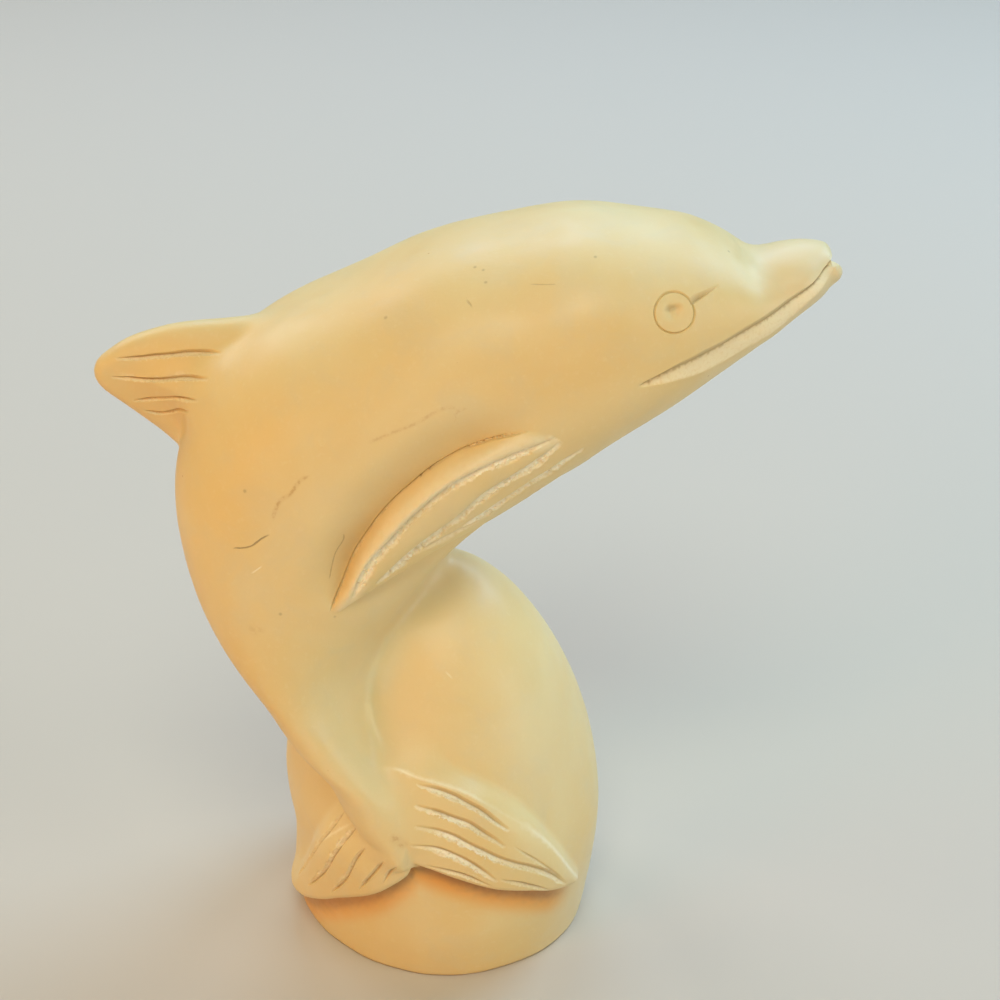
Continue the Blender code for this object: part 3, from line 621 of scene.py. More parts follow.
def details(p):
    """What the gouge took off the smooth skin at points p (mm): how deep, how
    raw, how far across its torn wall a point lies (0 the bottom, 1 the edge),
    how torn that wall is and how much painted shade darkens the cut there."""
    x, y, z = p.T
    phi = np.degrees(np.arctan2(x, -y))
    # long soft unevenness left by rasp and abrasive
    cut = 0.05 * noise(x, y, z, 7.0, 2) + 0.02 * noise(x, y, z, 2.6, 3)
    raw, tear, tear_on = np.zeros_like(x), np.full_like(x, 5.0), np.zeros_like(x)
    recess_shade = np.zeros_like(x)
    # eye: a ring and a shallow dish, both darkened with painted shade
    e = eye_radius(x, z)
    ring = np.where(z > 88.0, np.clip(1.0 - np.abs(e - EYE[2]) / EYE_CUT, 0.0, 1.0), 0.0)
    cut += 0.24 * ring
    recess_shade = np.maximum(recess_shade, 0.36 * ring)
    up, along = z - 95.15, x - 28.75
    pit = np.hypot(along, np.where(up > 0, 2.3, 0.8) * up)
    cut += np.where(z > 88.0, 0.52 * (1.0 - smoothstep(pit, 0.2, 1.3))
                    * (1.0 + 0.25 * noise(x, z, x * 0.0, 0.45, 6)), 0.0)
    recess_shade = np.maximum(recess_shade, np.where(z > 88.0, 0.7 * (1.0 - smoothstep(np.hypot(
        0.75 * (along + 0.25), 1.9 * (up - 0.08)), 0.3, 0.9)), 0.0))
    # the melon dips softly into the beak; the upper jaw ends first
    i = np.nonzero((x > 30.0) & (z > 93.0))[0]
    d, s = MELON.at(x[i], np.abs(y[i]))
    cut[i] += (0.36 * np.exp(-(d / 0.8) ** 2) * (1.0 - smoothstep(s, 1.5, 9.0))
               * smoothstep(z[i], 94.0, 96.0))
    i = np.nonzero((x > 44.0) & (z > 84.0))[0]
    lip, _ = FLANK_CUTS[0].line.at(x[i], z[i])
    cut[i] += 0.20 * smoothstep(lip, -0.1, 0.3) * smoothstep(x[i], 45.0, 48.5)
    fluke = (z > 3.0) & (z < 40.0) & (y < 8.0) & (np.abs(phi) < 95.0)
    for cuts, u, where in ((FLANK_CUTS, x, z > 52.0), (FLUKE_CUTS, phi * ARC, fluke)):
        for g in cuts:
            i = np.nonzero(where & g.line.near(u, z, g.reach))[0]
            if len(i):
                c, r, far, on, cut_shade = g.cut(u[i], z[i])
                if g is FLANK_CUTS[1]:
                    out = smoothstep(e[i], EYE[2] - 0.1, EYE[2] + 0.1)
                    c, cut_shade = c * out, cut_shade * out
                cut[i] += c
                closer = np.abs(far) < np.abs(tear[i])
                tear[i[closer]], tear_on[i[closer]] = far[closer], on[closer]
                raw[i] = np.maximum(raw[i], r)
                recess_shade[i] = np.maximum(recess_shade[i], cut_shade)
    return cut, raw, tear, tear_on, recess_shade


def flipper_rim(x, z):
    """How far outside the flipper's upper edge a point lies (mm, negative on
    the blade), and how much of the edge's middle stretch it is beside."""
    d, s = FLIP_TOP.at(x, z)
    s = s / FLIP_TOP.total
    d = np.abs(d) * np.where(inside_polygon(FLIP_RING, x, z), -1.0, 1.0)
    return d, smoothstep(s, -0.02, 0.22) * (1.0 - smoothstep(s, 0.62, 1.0))


def painted_light(p):
    """Painted orange glow of bounced light below the flukes, painted shadow just under them and painted shade
    in the hollow above the flipper.
    """
    x, y, z = p.T
    fd, phi = dome_field(x, y, z), np.degrees(np.arctan2(x, -y))
    warm, painted_shadow = np.zeros_like(x), np.zeros_like(x)
    for fluke, share in zip(FLUKES, (1.0, 0.75)):
        q = -phi if fluke.mirror else phi
        down = np.interp(q, fluke.at, fluke.col[0]) - z
        ends = smoothstep(q, fluke.at[0] + 2.0, fluke.at[0] + 12.0) * (
            1.0 - smoothstep(q, fluke.at[-1] - 20.0, fluke.at[-1] - 4.0))
        on = share * ends * (1.0 - smoothstep(fd, 0.5, 1.6))
        warm = np.maximum(warm, on * smoothstep(down, -0.6, 0.8)
                          * (1.0 - smoothstep(down, 2.8, 6.2)))
        painted_shadow = np.maximum(painted_shadow, on * smoothstep(down, -0.8, 0.2)
                          * (1.0 - smoothstep(down, 1.4, 3.2)))
    here = (y < 4.0) & (z < 40.0)
    warm, painted_shadow = np.where(here, warm, 0.0), np.where(here, painted_shadow, 0.0)
    # the hollow above the flipper gets a little painted shade
    d, along = flipper_rim(x, z)
    hollow_shade = 0.22 * smoothstep(d, -0.1, 0.8) * (1.0 - smoothstep(d, 2.0, 6.5)) * along
    return warm, np.maximum(painted_shadow, np.where(np.abs(y) > 6.0, hollow_shade, 0.0))


GREY_AND_SKY_LIGHT = (          # middle (mm), reach, share
    ((-7.5, -15.0, 43.0), (5.0, 12.0, 9.0), 0.75),
    ((0.0, -10.0, 54.0), (12.0, 14.0, 7.0), 0.7),
    ((46.0, -3.0, 95.0), (7.0, 9.0, 6.0), 1.0),
    ((19.0, -9.0, 6.0), (6.0, 10.0, 8.0), 0.9),
    ((16.0, -12.0, 34.0), (7.0, 12.0, 16.0), 0.5),
)


def grey_and_sky_light(p):
    """Broad patches of greyer stone that also stand in for cool sky light, partly stone tone and partly painted
    light, 0 to 1.
    """
    out = np.zeros(len(p))
    for middle, reach, share in GREY_AND_SKY_LIGHT:
        d = np.sqrt((((p - np.array(middle)) / np.array(reach)) ** 2).sum(1))
        out = np.maximum(out, share * (1.0 - smoothstep(d, 0.1, 1.6)))
    return out


def painted_highlight(p):
    """Painted highlight along the flukes' ridges and the flipper's upper band, 0 to 1."""
    x, y, z = p.T
    fd, phi = dome_field(x, y, z), np.degrees(np.arctan2(x, -y))
    out = np.zeros_like(x)
    for fluke, first, last in zip(FLUKES, (-17.0, 28.0), (57.0, 46.0)):
        q = -phi if fluke.mirror else phi
        ridge, lean = (np.interp(q, fluke.at, c) for c in (fluke.col[1], fluke.lean[1]))
        d = np.abs(z - ridge) / lean
        wide = 0.15 + (0.0 if fluke.mirror else 0.08) * smoothstep(q, 26.0, 40.0)
        on = smoothstep(q, first, first + 6.0) * (1.0 - smoothstep(q, last - 4.0, last))
        if not fluke.mirror:
            on = on * (1.0 - 0.75 * smoothstep(q, 12.0, 18.0) * (1.0 - smoothstep(q, 26.0, 36.0)))
        out = np.maximum(out, on * (1.0 - smoothstep(d, 0.3 * wide, 1.6 * wide)) * (fd > 0.25))
    out = np.where((y < 4.0) & (z < 40.0), out, 0.0)
    # the flipper's upper band gets a painted highlight as well
    d, _ = flipper_rim(x, z)
    band = 0.62 * smoothstep(-d, 0.1, 0.9) * (1.0 - smoothstep(-d, 1.8, 3.0))
    return np.maximum(out, np.where(np.abs(y) > 6.0, band, 0.0))


# ---- marks in the stone, in (x, z) on the flank ----------------------------
DARK_LINES = (     # points, half width, strength
    (((-24.3, 66.2), (-22.0, 66.7), (-20.8, 67.7), (-19.8, 68.3)), 0.10, 0.9),
    (((-10.9, 67.9), (-10.8, 67.5), (-11.7, 65.6), (-12.3, 63.9), (-12.8, 61.5)), 0.07, 0.55),
    (((4.2, 96.1), (5.0, 95.4)), 0.10, 0.5),
    (((11.7, 97.8), (14.8, 98.0)), 0.05, 0.35),
)
RUST_LINES = (
    (((-14.9, 76.1), (-16.1, 75.1), (-17.1, 73.6), (-18.1, 73.0), (-19.0, 71.2),
      (-19.3, 70.5)), 0.15, 0.9),
    (((3.4, 84.9), (1.8, 84.8), (-1.7, 82.9), (-3.9, 82.0), (-5.7, 81.2), (-7.4, 80.4)), 0.15, 0.5),
    (((3.1, 84.8), (3.8, 84.85)), 0.24, 0.8),
    (((6.4, 85.4), (6.7, 85.4)), 0.16, 0.7),
    (((-6.1, 26.7), (-3.8, 24.7)), 0.35, 0.7),
    (((-22.7, 55.7), (-21.1, 54.9)), 0.45, 0.3),
)
PALE_LINES = (
    (((-22.2, 63.0), (-20.8, 64.1)), 0.09, 0.9),
    (((1.1, 44.4), (2.1, 43.5)), 0.10, 0.5),
)
DOTS = ((-22.6, -18.8, 73.5, 0.22), (-18.9, -20.7, 57.4, 0.20), (-12.3, -19.3, 56.1, 0.18),
        (5.2, -8.9, 98.5, 0.2), (6.2, -9.6, 98.4, 0.16), (6.5, -11.5, 97.6, 0.2),
        (-5.4, -12.4, 93.4, 0.22), (19.5, -10.0, 100.2, 0.18), (36.0, -3.9, 98.6, 0.16))


def dot_distance(p, dot):
    return np.sqrt(((p - np.array(dot[:3])) ** 2).sum(1))


# ---- the skin as a triangle mesh --------------------------------------------
GRID_LO, GRID_HI = (-47.0, -28.0, -2.3), (54.0, 25.0, 105.0)


POOL = futures.ThreadPoolExecutor(4)


def field_at(p):
    parts = np.array_split(p, max(1, len(p) // 6000))
    return np.concatenate(list(POOL.map(lambda q: carving(*q.T), parts)))


def sampled_grid():
    """The field on a 1 mm grid, worked out only near the skin."""
    lo = np.array(GRID_LO)
    size = np.ceil((np.array(GRID_HI) - lo) / 4.0).astype(int)
    grid, known = None, None
    for step, reach in ((4.0, None), (2.0, 5.5), (1.0, 2.8)):
        n = (size * 4 / step).astype(int) + 1
        if grid is None:
            out, need = np.zeros(n), np.ones(n, bool)
        else:
            i = [np.arange(k) // 2 for k in n]
            out = grid[np.ix_(*i)].copy()
            up = [np.minimum((np.arange(k) + 1) // 2, m - 1) for k, m in zip(n, grid.shape)]
            far = grid[np.ix_(*up)]
            need = np.minimum(np.abs(out), np.abs(far)) < reach
            need |= out * far < 0.0
        at = np.argwhere(need)
        out[need] = field_at(lo + at * step)
        grid = out
    return lo, grid


def surface_net(lo, g):
    """Quads through the cells that the skin crosses, as triangles."""
    n = np.array(g.shape) - 1
    cell = -np.ones(n, int)
    total, count = np.zeros(tuple(n) + (3,)), np.zeros(n)
    inside = g < 0.0
    crossings = []
    for ax in range(3):
        a = [slice(None)] * 3
        b = [slice(None)] * 3
        a[ax], b[ax] = slice(0, -1), slice(1, None)
        hit = np.argwhere(inside[tuple(a)] != inside[tuple(b)])
        f0 = g[tuple(a)][tuple(hit.T)]
        f1 = g[tuple(b)][tuple(hit.T)]
        p = hit.astype(float)
        p[:, ax] += f0 / (f0 - f1)
        o1, o2 = [(1, 2), (2, 0), (0, 1)][ax]
        ring = []
        for du, dv in ((0, 0), (-1, 0), (-1, -1), (0, -1)):
            c = hit.copy()
            c[:, o1] += du
            c[:, o2] += dv
            np.add.at(total, tuple(c.T), p)
            np.add.at(count, tuple(c.T), 1.0)
            ring.append(c)
        crossings.append((ring, f0 < 0.0))
    used = np.argwhere(count > 0)
    cell[tuple(used.T)] = np.arange(len(used))
    v = lo + total[tuple(used.T)] / count[tuple(used.T)][:, None]
    faces = []
    for ring, out in crossings:
        q = np.stack([cell[tuple(c.T)] for c in ring], 1)
        faces.append(np.where(out[:, None], q, q[:, ::-1]))
    q = np.concatenate(faces)
    p = v[q]
    short = (((p[:, 0] - p[:, 2]) ** 2).sum(1) < ((p[:, 1] - p[:, 3]) ** 2).sum(1))
    t = np.where(short[:, None, None],
                 q[:, [[0, 1, 2], [0, 2, 3]]], q[:, [[0, 1, 3], [1, 2, 3]]])
    return v, t.reshape(-1, 3)


def gradient(p, eps=0.03):
    g = np.empty_like(p)
    for k in range(3):
        d = np.zeros(3)
        d[k] = eps
        g[:, k] = (field_at(p + d) - field_at(p - d)) / (2.0 * eps)
    return g


def onto_skin(p, rounds=2):
    for _ in range(rounds):
        g = gradient(p)
        f = field_at(p)
        step = np.clip(f / np.maximum((g * g).sum(1), 0.25), -0.6, 0.6)
        p = p - g * step[:, None]
    return p


def edge_table(t):
    """Each edge once, and the three edge numbers of each triangle."""
    n = int(t.max()) + 1
    e = np.sort(np.stack([t, np.roll(t, -1, 1)], 2), 2).reshape(-1, 2)
    key, back = np.unique(e[:, 0] * n + e[:, 1], return_inverse=True)
    return np.stack([key // n, key % n], 1), back.reshape(-1, 3)


def split(v, t, e, te, mark, at):
    """Cuts the marked edges at `at` and returns all points and triangles."""
    new = np.full(len(e), -1)
    new[mark] = len(v) + np.arange(mark.sum())
    fresh = v[e[mark, 0]] * (1 - at[:, None]) + v[e[mark, 1]] * at[:, None]
    v = np.concatenate([v, fresh])
    m = new[te]
    count = (m >= 0).sum(1)
    out = [t[count == 0]]
    for k in range(3):
        r = [k, (k + 1) % 3, (k + 2) % 3]
        one = (count == 1) & (m[:, k] >= 0)
        a, b, c = t[one][:, r].T
        x = m[one, k]
        out += [np.stack([a, x, c], 1), np.stack([x, b, c], 1)]
        two = (count == 2) & (m[:, (k + 1) % 3] < 0)
        a, b, c = t[two][:, r].T
        x, y = m[two, k], m[two, (k + 2) % 3]
        d = (((v[x] - v[c]) ** 2).sum(1) < ((v[b] - v[y]) ** 2).sum(1))
        out.append(np.stack([a, x, y], 1))
        out.append(np.where(d[:, None], np.stack([x, b, c], 1), np.stack([x, b, y], 1)))
        out.append(np.where(d[:, None], np.stack([x, c, y], 1), np.stack([b, c, y], 1)))
    three = count == 3
    a, b, c = t[three].T
    x, y, w = m[three].T
    out += [np.stack([a, x, w], 1), np.stack([x, b, y], 1),
            np.stack([w, y, c], 1), np.stack([x, y, w], 1)]
    return v, np.concatenate(out)


def relax(v, t, share=0.5, hold=None):
    """Evens the points out along the skin."""
    e, _ = edge_table(t)
    total, count = np.zeros_like(v), np.zeros(len(v))
    for a, b in ((0, 1), (1, 0)):
        np.add.at(total, e[:, a], v[e[:, b]])
        np.add.at(count, e[:, a], 1.0)
    move = (total / np.maximum(count, 1)[:, None] - v) * share
    n = gradient(v)
    n /= np.maximum(np.linalg.norm(n, axis=1), 1e-6)[:, None]
    move -= n * (move * n).sum(1)[:, None]
    if hold is not None:
        move[hold] = 0.0
    return v + move


def cut_charts(p):
    """Every cut with its own chart: cut, u, v and where it may be."""
    x, y, z = p.T
    phi = np.degrees(np.arctan2(x, -y))
    fluke = (z > 3.0) & (z < 40.0) & (y < 8.0) & (np.abs(phi) < 95.0)
    for cuts, u, where in ((FLANK_CUTS, x, z > 52.0), (FLUKE_CUTS, phi * ARC, fluke)):
        for g in cuts:
            yield g, u, z, where


def wanted_size(p):
    """How long a triangle's edge may be at p."""
    x, y, z = p.T
    size = np.full(len(p), 1.3)
    grow = np.where(y < 4.0, 0.0, 0.22)
    for g, u, v, where in cut_charts(p):
        i = np.nonzero(where & g.line.near(u, v, g.reach + 2.5))[0]
        if len(i):
            d, _ = g.line.at(u[i], v[i])
            band = np.where(d > 0, g.steep, g.reach * 0.62) + 0.1
            out = np.maximum(np.abs(d) - band, 0.0)
            size[i] = np.minimum(size[i], g.fine + grow[i] + 0.4 * out)
    for lines in (DARK_LINES, PALE_LINES):
        for points, _, _ in lines:
            line = Line(points, 0.5)
            i = np.nonzero((y < 0) & line.near(x, z, 2.0))[0]
            if len(i):
                d, _ = line.at(x[i], z[i])
                size[i] = np.minimum(size[i], 0.4 + 0.5 * np.maximum(np.abs(d) - 0.3, 0.0))
    ring = np.abs(eye_radius(x, z) - EYE[2]) + (z < 80) * 50.0
    size = np.minimum(size, 0.22 + grow + 0.4 * np.maximum(ring - 0.3, 0.0))
    for dot in DOTS:
        d, r = dot_distance(p, dot), dot[3]
        size = np.minimum(size, 0.7 * r + 0.4 * np.maximum(d - r, 0.0))
    lip = (x > 47.8) & (z > 90)
    return np.where(lip, np.minimum(size, 0.26), size)


def refine(v, t, rounds):
    for _ in range(rounds):
        e, te = edge_table(t)
        a, b = v[e[:, 0]], v[e[:, 1]]
        length = np.linalg.norm(a - b, axis=1)
        n = gradient(v)
        n /= np.maximum(np.linalg.norm(n, axis=1), 1e-6)[:, None]
        turn = np.linalg.norm(n[e[:, 0]] - n[e[:, 1]], axis=1)
        mark = (length > 1.35 * wanted_size((a + b) / 2)) | (
            (turn > 0.24) & (length > 0.42))
        if not mark.any():
            break
        longest = te[np.arange(len(te)), np.argmax(length[te], 1)]
        while True:
            hit = mark[te].any(1) & ~mark[longest]
            if not hit.any():
                break
            mark[longest[hit]] = True
        old = len(v)
        v, t = split(v, t, e, te, mark, np.full(mark.sum(), 0.5))
        v[old:] = onto_skin(v[old:], 1)
    return v, t


def follow(v, t, value, held):
    """Lays mesh edges along the line where value(points) is nought."""
    val, ok = value(v)
    e, te = edge_table(t)
    a, b = e[:, 0], e[:, 1]
    cross = ok[a] & ok[b] & (val[a] * val[b] < 0.0)
    k = np.nonzero(cross)[0]
    if not len(k):
        return v, t, held
    a, b = a[k], b[k]
    w = val[a] / (val[a] - val[b])
    length = np.linalg.norm(v[a] - v[b], axis=1)
    point = v[a] * (1 - w)[:, None] + v[b] * w[:, None]
    who = np.concatenate([a, b])
    far = np.concatenate([w, 1 - w])
    dist = far * np.concatenate([length, length])
    where = np.concatenate([point, point])
    ok2 = (far < 0.34) & ~held[who]
    order = np.argsort(-dist[ok2])
    v = v.copy()
    v[who[ok2][order]] = where[ok2][order]
    moved = np.zeros(len(v), bool)
    moved[who[ok2]] = True
    held = held | moved
    val[moved] = 0.0
    cross = ok[e[:, 0]] & ok[e[:, 1]] & (val[e[:, 0]] * val[e[:, 1]] < 0.0)
    va, vb = val[e[cross, 0]], val[e[cross, 1]]
    at = np.clip(va / (va - vb), 0.1, 0.9)
    old = len(v)
    v, t = split(v, t, e, te, cross, at)
    held = np.concatenate([held, np.ones(len(v) - old, bool)])
    return v, t, held


def lines_of(k, which):
    """The bottom or an edge of cut number k, as a value over points."""
    def value(p):
        val, ok = np.ones(len(p)), np.zeros(len(p), bool)
        g, u, v, where = list(cut_charts(p))[k]
        i = np.nonzero(where & g.line.near(u, v, g.reach))[0]
        if len(i):
            d, s, _, steep, wide, _, _ = g.walls(u[i], v[i])
            val[i] = (d, d - steep, d + wide)[which]
            ok[i] = (s > 0.0) & (s < g.line.total) & (np.abs(d) < g.reach)
        return val, ok
    return value


def ring_of(offset):
    def value(p):
        e = eye_radius(p[:, 0], p[:, 2])
        return e - EYE[2] - offset, (e < 4.0) & (p[:, 2] > 88.0)
    return value


def ridge_of(fluke, column):
    """The ridge (1) of a fluke's blade or the line where it meets the egg (2)."""
    def value(p):
        x, y, z = p.T
        q = np.degrees(np.arctan2(x, -y)) * (-1.0 if fluke.mirror else 1.0)
        line = np.interp(q, fluke.at, fluke.col[column])
        out = dome_field(x, y, z)
        proud = np.interp(q, fluke.at, fluke.col[3]) if column == 1 else 0.0
        first = 24.0 if fluke.mirror else -18.0
        return z - line, ((q > first) & (q < fluke.at[-1] - 4.0) & (y < 8.0)
                          & (np.abs(out - proud) < 1.0) & (np.abs(z - line) < 3.0))
    return value


def skin():
    """Points (mm), triangles and the values the stone reads at each point."""
    lo, grid = sampled_grid()
    v, t = surface_net(lo, grid)
    v = onto_skin(v, 2)
    v, t = refine(v, t, 6)
    for _ in range(3):
        v = onto_skin(relax(v, t, 0.6), 1)
    v, t = refine(v, t, 2)
    v = onto_skin(relax(v, t, 0.4), 2)
    held = np.zeros(len(v), bool)
    for k in range(len(FLANK_CUTS) + len(FLUKE_CUTS)):
        for which in (0, 1, 2):
            v, t, held = follow(v, t, lines_of(k, which), held)
    for offset in (0.0, EYE_CUT, -EYE_CUT):
        v, t, held = follow(v, t, ring_of(offset), held)
    for fluke in FLUKES:
        for column in (1, 2):
            v, t, held = follow(v, t, ridge_of(fluke, column), held)
    v = onto_skin(v, 1)
    n = gradient(v)
    n /= np.maximum(np.linalg.norm(n, axis=1), 1e-6)[:, None]
    # among these values are painted shade in the cuts, a painted glow and painted shadow under the flukes, a
    # painted highlight on ridges and partly painted sky light
    cut, raw, tear, tear_on, recess_shade = details(v)
    cut = np.where(v[:, 2] < 0.05, 0.0, cut)
    warm, painted_shadow = painted_light(v)
    said = {"raw": raw, "recess_shade": recess_shade, "tear": tear, "tear_on": tear_on,
            "painted_light": warm, "painted_shadow": painted_shadow, "painted_highlight": painted_highlight(v), "grey_and_sky_light": grey_and_sky_light(v), "held": held.astype(float)}
    return v - n * cut[:, None], t, said
# ==== carving: end ============================================================

def marks(p):
    """Signed distance to the nearest mark of each kind and its strength."""
    x, y, z = p.T
    out = {}
    for name, lines in (("dark", DARK_LINES), ("rust", RUST_LINES), ("pale", PALE_LINES)):
        near, dist, on = np.full(len(p), 5.0), np.full(len(p), 40.0), np.zeros(len(p))
        for points, width, strength in lines:
            line = Line(points, 0.5)
            i = np.nonzero((y < 0) & line.near(x, z, 5.0))[0]
            if len(i):
                d, s = line.at(x[i], z[i])
                end = np.minimum(s, line.total - s)
                better = np.abs(d) < near[i]
                k = i[better]
                near[k], dist[k] = np.abs(d[better]), d[better] / width
                on[k] = (strength * smoothstep(end[better], 0.0, 0.4)
                         * (1.0 - smoothstep(np.abs(d[better]), 1.5, 2.2)))
        out[name], out[name + "_on"] = dist, on
    dot = np.zeros(len(p))
    for one in DOTS:
        dot = np.maximum(dot, 1.0 - smoothstep(dot_distance(p, one), 0.4 * one[3], one[3] + 0.1))
    out["dot"] = dot
    return out


def set_sharp(mesh, p, t, held):
    """Sharp where the skin turns hard, and along the lines that were cut."""
    e, te = edge_table(t)
    n = np.cross(p[t[:, 1]] - p[t[:, 0]], p[t[:, 2]] - p[t[:, 0]])
    n /= np.maximum(np.linalg.norm(n, axis=1), 1e-12)[:, None]
    order = np.argsort(te.ravel(), kind="stable")
    face, edge = order // 3, te.ravel()[order]
    first = np.searchsorted(edge, np.arange(len(e)))
    turn = (n[face[first]] * n[face[np.minimum(first + 1, len(face) - 1)]]).sum(1)
    sharp = (turn < math.cos(math.radians(38.0))) | (
        held[e].all(1) & (turn < math.cos(math.radians(9.0))))
    own = np.empty(len(mesh.edges) * 2, np.int32)
    mesh.edges.foreach_get("vertices", own)
    own = np.sort(own.reshape(-1, 2).astype(np.int64), 1)
    size = len(p)
    key = e[:, 0].astype(np.int64) * size + e[:, 1]
    place = np.searchsorted(key, own[:, 0] * size + own[:, 1])
    place = np.minimum(place, len(key) - 1)
    layer = mesh.attributes.new("sharp_edge", "BOOLEAN", "EDGE")
    layer.data.foreach_set("value", sharp[place])


def make_piece():
    p, t, said = skin()
    mesh = bpy.data.meshes.new("dolphin")
    mesh.vertices.add(len(p))
    mesh.vertices.foreach_set("co", (p / 1000.0).astype(np.float32).ravel())
    mesh.loops.add(len(t) * 3)
    mesh.loops.foreach_set("vertex_index", t.astype(np.int32).ravel())
    mesh.polygons.add(len(t))
    mesh.polygons.foreach_set("loop_start", np.arange(0, len(t) * 3, 3, dtype=np.int32))
    mesh.update(calc_edges=True)
    mesh.validate()
    mesh.shade_smooth()
    set_sharp(mesh, p, t, said.pop("held") > 0.5)
    values = marks(p)
    values.update(said)
    for name, v in values.items():
        a = mesh.attributes.new(name, "FLOAT", "POINT")
        a.data.foreach_set("value", np.asarray(v, np.float32))
    piece = bpy.data.objects.new("dolphin", mesh)
    bpy.context.scene.collection.objects.link(piece)
    return piece


# ---- the stone --------------------------------------------------------------
class Nodes:
    """A few short hands for building a material."""

    def __init__(self, name):
        self.material = bpy.data.materials.new(name)
        self.material.use_nodes = True
        self.tree = self.material.node_tree
        self.tree.nodes.clear()
        self.out = self.tree.nodes.new("ShaderNodeOutputMaterial")
        self.bsdf = self.tree.nodes.new("ShaderNodeBsdfPrincipled")
        self.link(self.bsdf.outputs[0], self.out.inputs["Surface"])
        at = self.tree.nodes.new("ShaderNodeTexCoord")
        scale = self.tree.nodes.new("ShaderNodeVectorMath")
        scale.operation = "SCALE"
        scale.inputs["Scale"].default_value = 1000.0      # coordinates in mm
        self.link(at.outputs["Object"], scale.inputs[0])
        self.mm = scale.outputs[0]

    def link(self, a, b):
        self.tree.links.new(a, b)

    def put(self, socket, value):
        if hasattr(value, "links"):
            self.link(value, socket)
        elif value is not None:
            socket.default_value = value

    def math(self, op, a, b=None, c=None, clamp=False):
        n = self.tree.nodes.new("ShaderNodeMath")
        n.operation, n.use_clamp = op, clamp
        for k, value in enumerate((a, b, c)):
            self.put(n.inputs[k], value)
        return n.outputs[0]

    def ramp(self, value, lo, hi, a=0.0, b=1.0):
        n = self.tree.nodes.new("ShaderNodeMapRange")
        n.interpolation_type = "SMOOTHSTEP"
        for key, v in zip(("Value", "From Min", "From Max", "To Min", "To Max"),
                          (value, lo, hi, a, b)):
            self.put(n.inputs[key], v)
        return n.outputs["Result"]

    def stretched(self, scale, turn=(0.0, 0.0, 0.0)):
        n = self.tree.nodes.new("ShaderNodeMapping")
        self.link(self.mm, n.inputs["Vector"])
        n.inputs["Scale"].default_value = scale
        n.inputs["Rotation"].default_value = turn
        return n.outputs[0]

    def noise(self, size, detail=3.0, rough=0.5, vector=None, warp=0.0):
        n = self.tree.nodes.new("ShaderNodeTexNoise")
        self.link(vector or self.mm, n.inputs["Vector"])
        n.inputs["Scale"].default_value = 1.0 / size
        n.inputs["Detail"].default_value = detail
        n.inputs["Roughness"].default_value = rough
        n.inputs["Distortion"].default_value = warp
        return n.outputs["Fac"]

    def cells(self, size, vector=None):
        n = self.tree.nodes.new("ShaderNodeTexVoronoi")
        self.link(vector or self.mm, n.inputs["Vector"])
        n.inputs["Scale"].default_value = 1.0 / size
        return n

    def mix(self, share, a, b, kind="MIX"):
        n = self.tree.nodes.new("ShaderNodeMix")
        n.data_type, n.blend_type = "RGBA", kind
        self.put(n.inputs[0], share)
        self.put(n.inputs[6], a)
        self.put(n.inputs[7], b)
        return n.outputs[2]

    def read(self, name):
        n = self.tree.nodes.new("ShaderNodeAttribute")
        n.attribute_name = name
        return n.outputs["Fac"]

    def tree_value(self, colour):
        n = self.tree.nodes.new("ShaderNodeSeparateColor")
        self.link(colour, n.inputs[0])
        return n.outputs[0]

    def line_mask_wide(self, name, width):
        d = self.math("ABSOLUTE", self.read(name))
        return self.math("MULTIPLY", self.ramp(d, 0.5, width, 1.0, 0.0), self.read(name + "_on"))

    def line_mask(self, name, soft, wobble):
        """1 on a mark's line, 0 away from it."""
        d = self.math("ABSOLUTE", self.read(name))
        d = self.math("ADD", d, wobble)
        inside = self.ramp(d, 1.0 - soft, 1.0 + soft, 1.0, 0.0)
        return self.math("MULTIPLY", inside, self.read(name + "_on"))


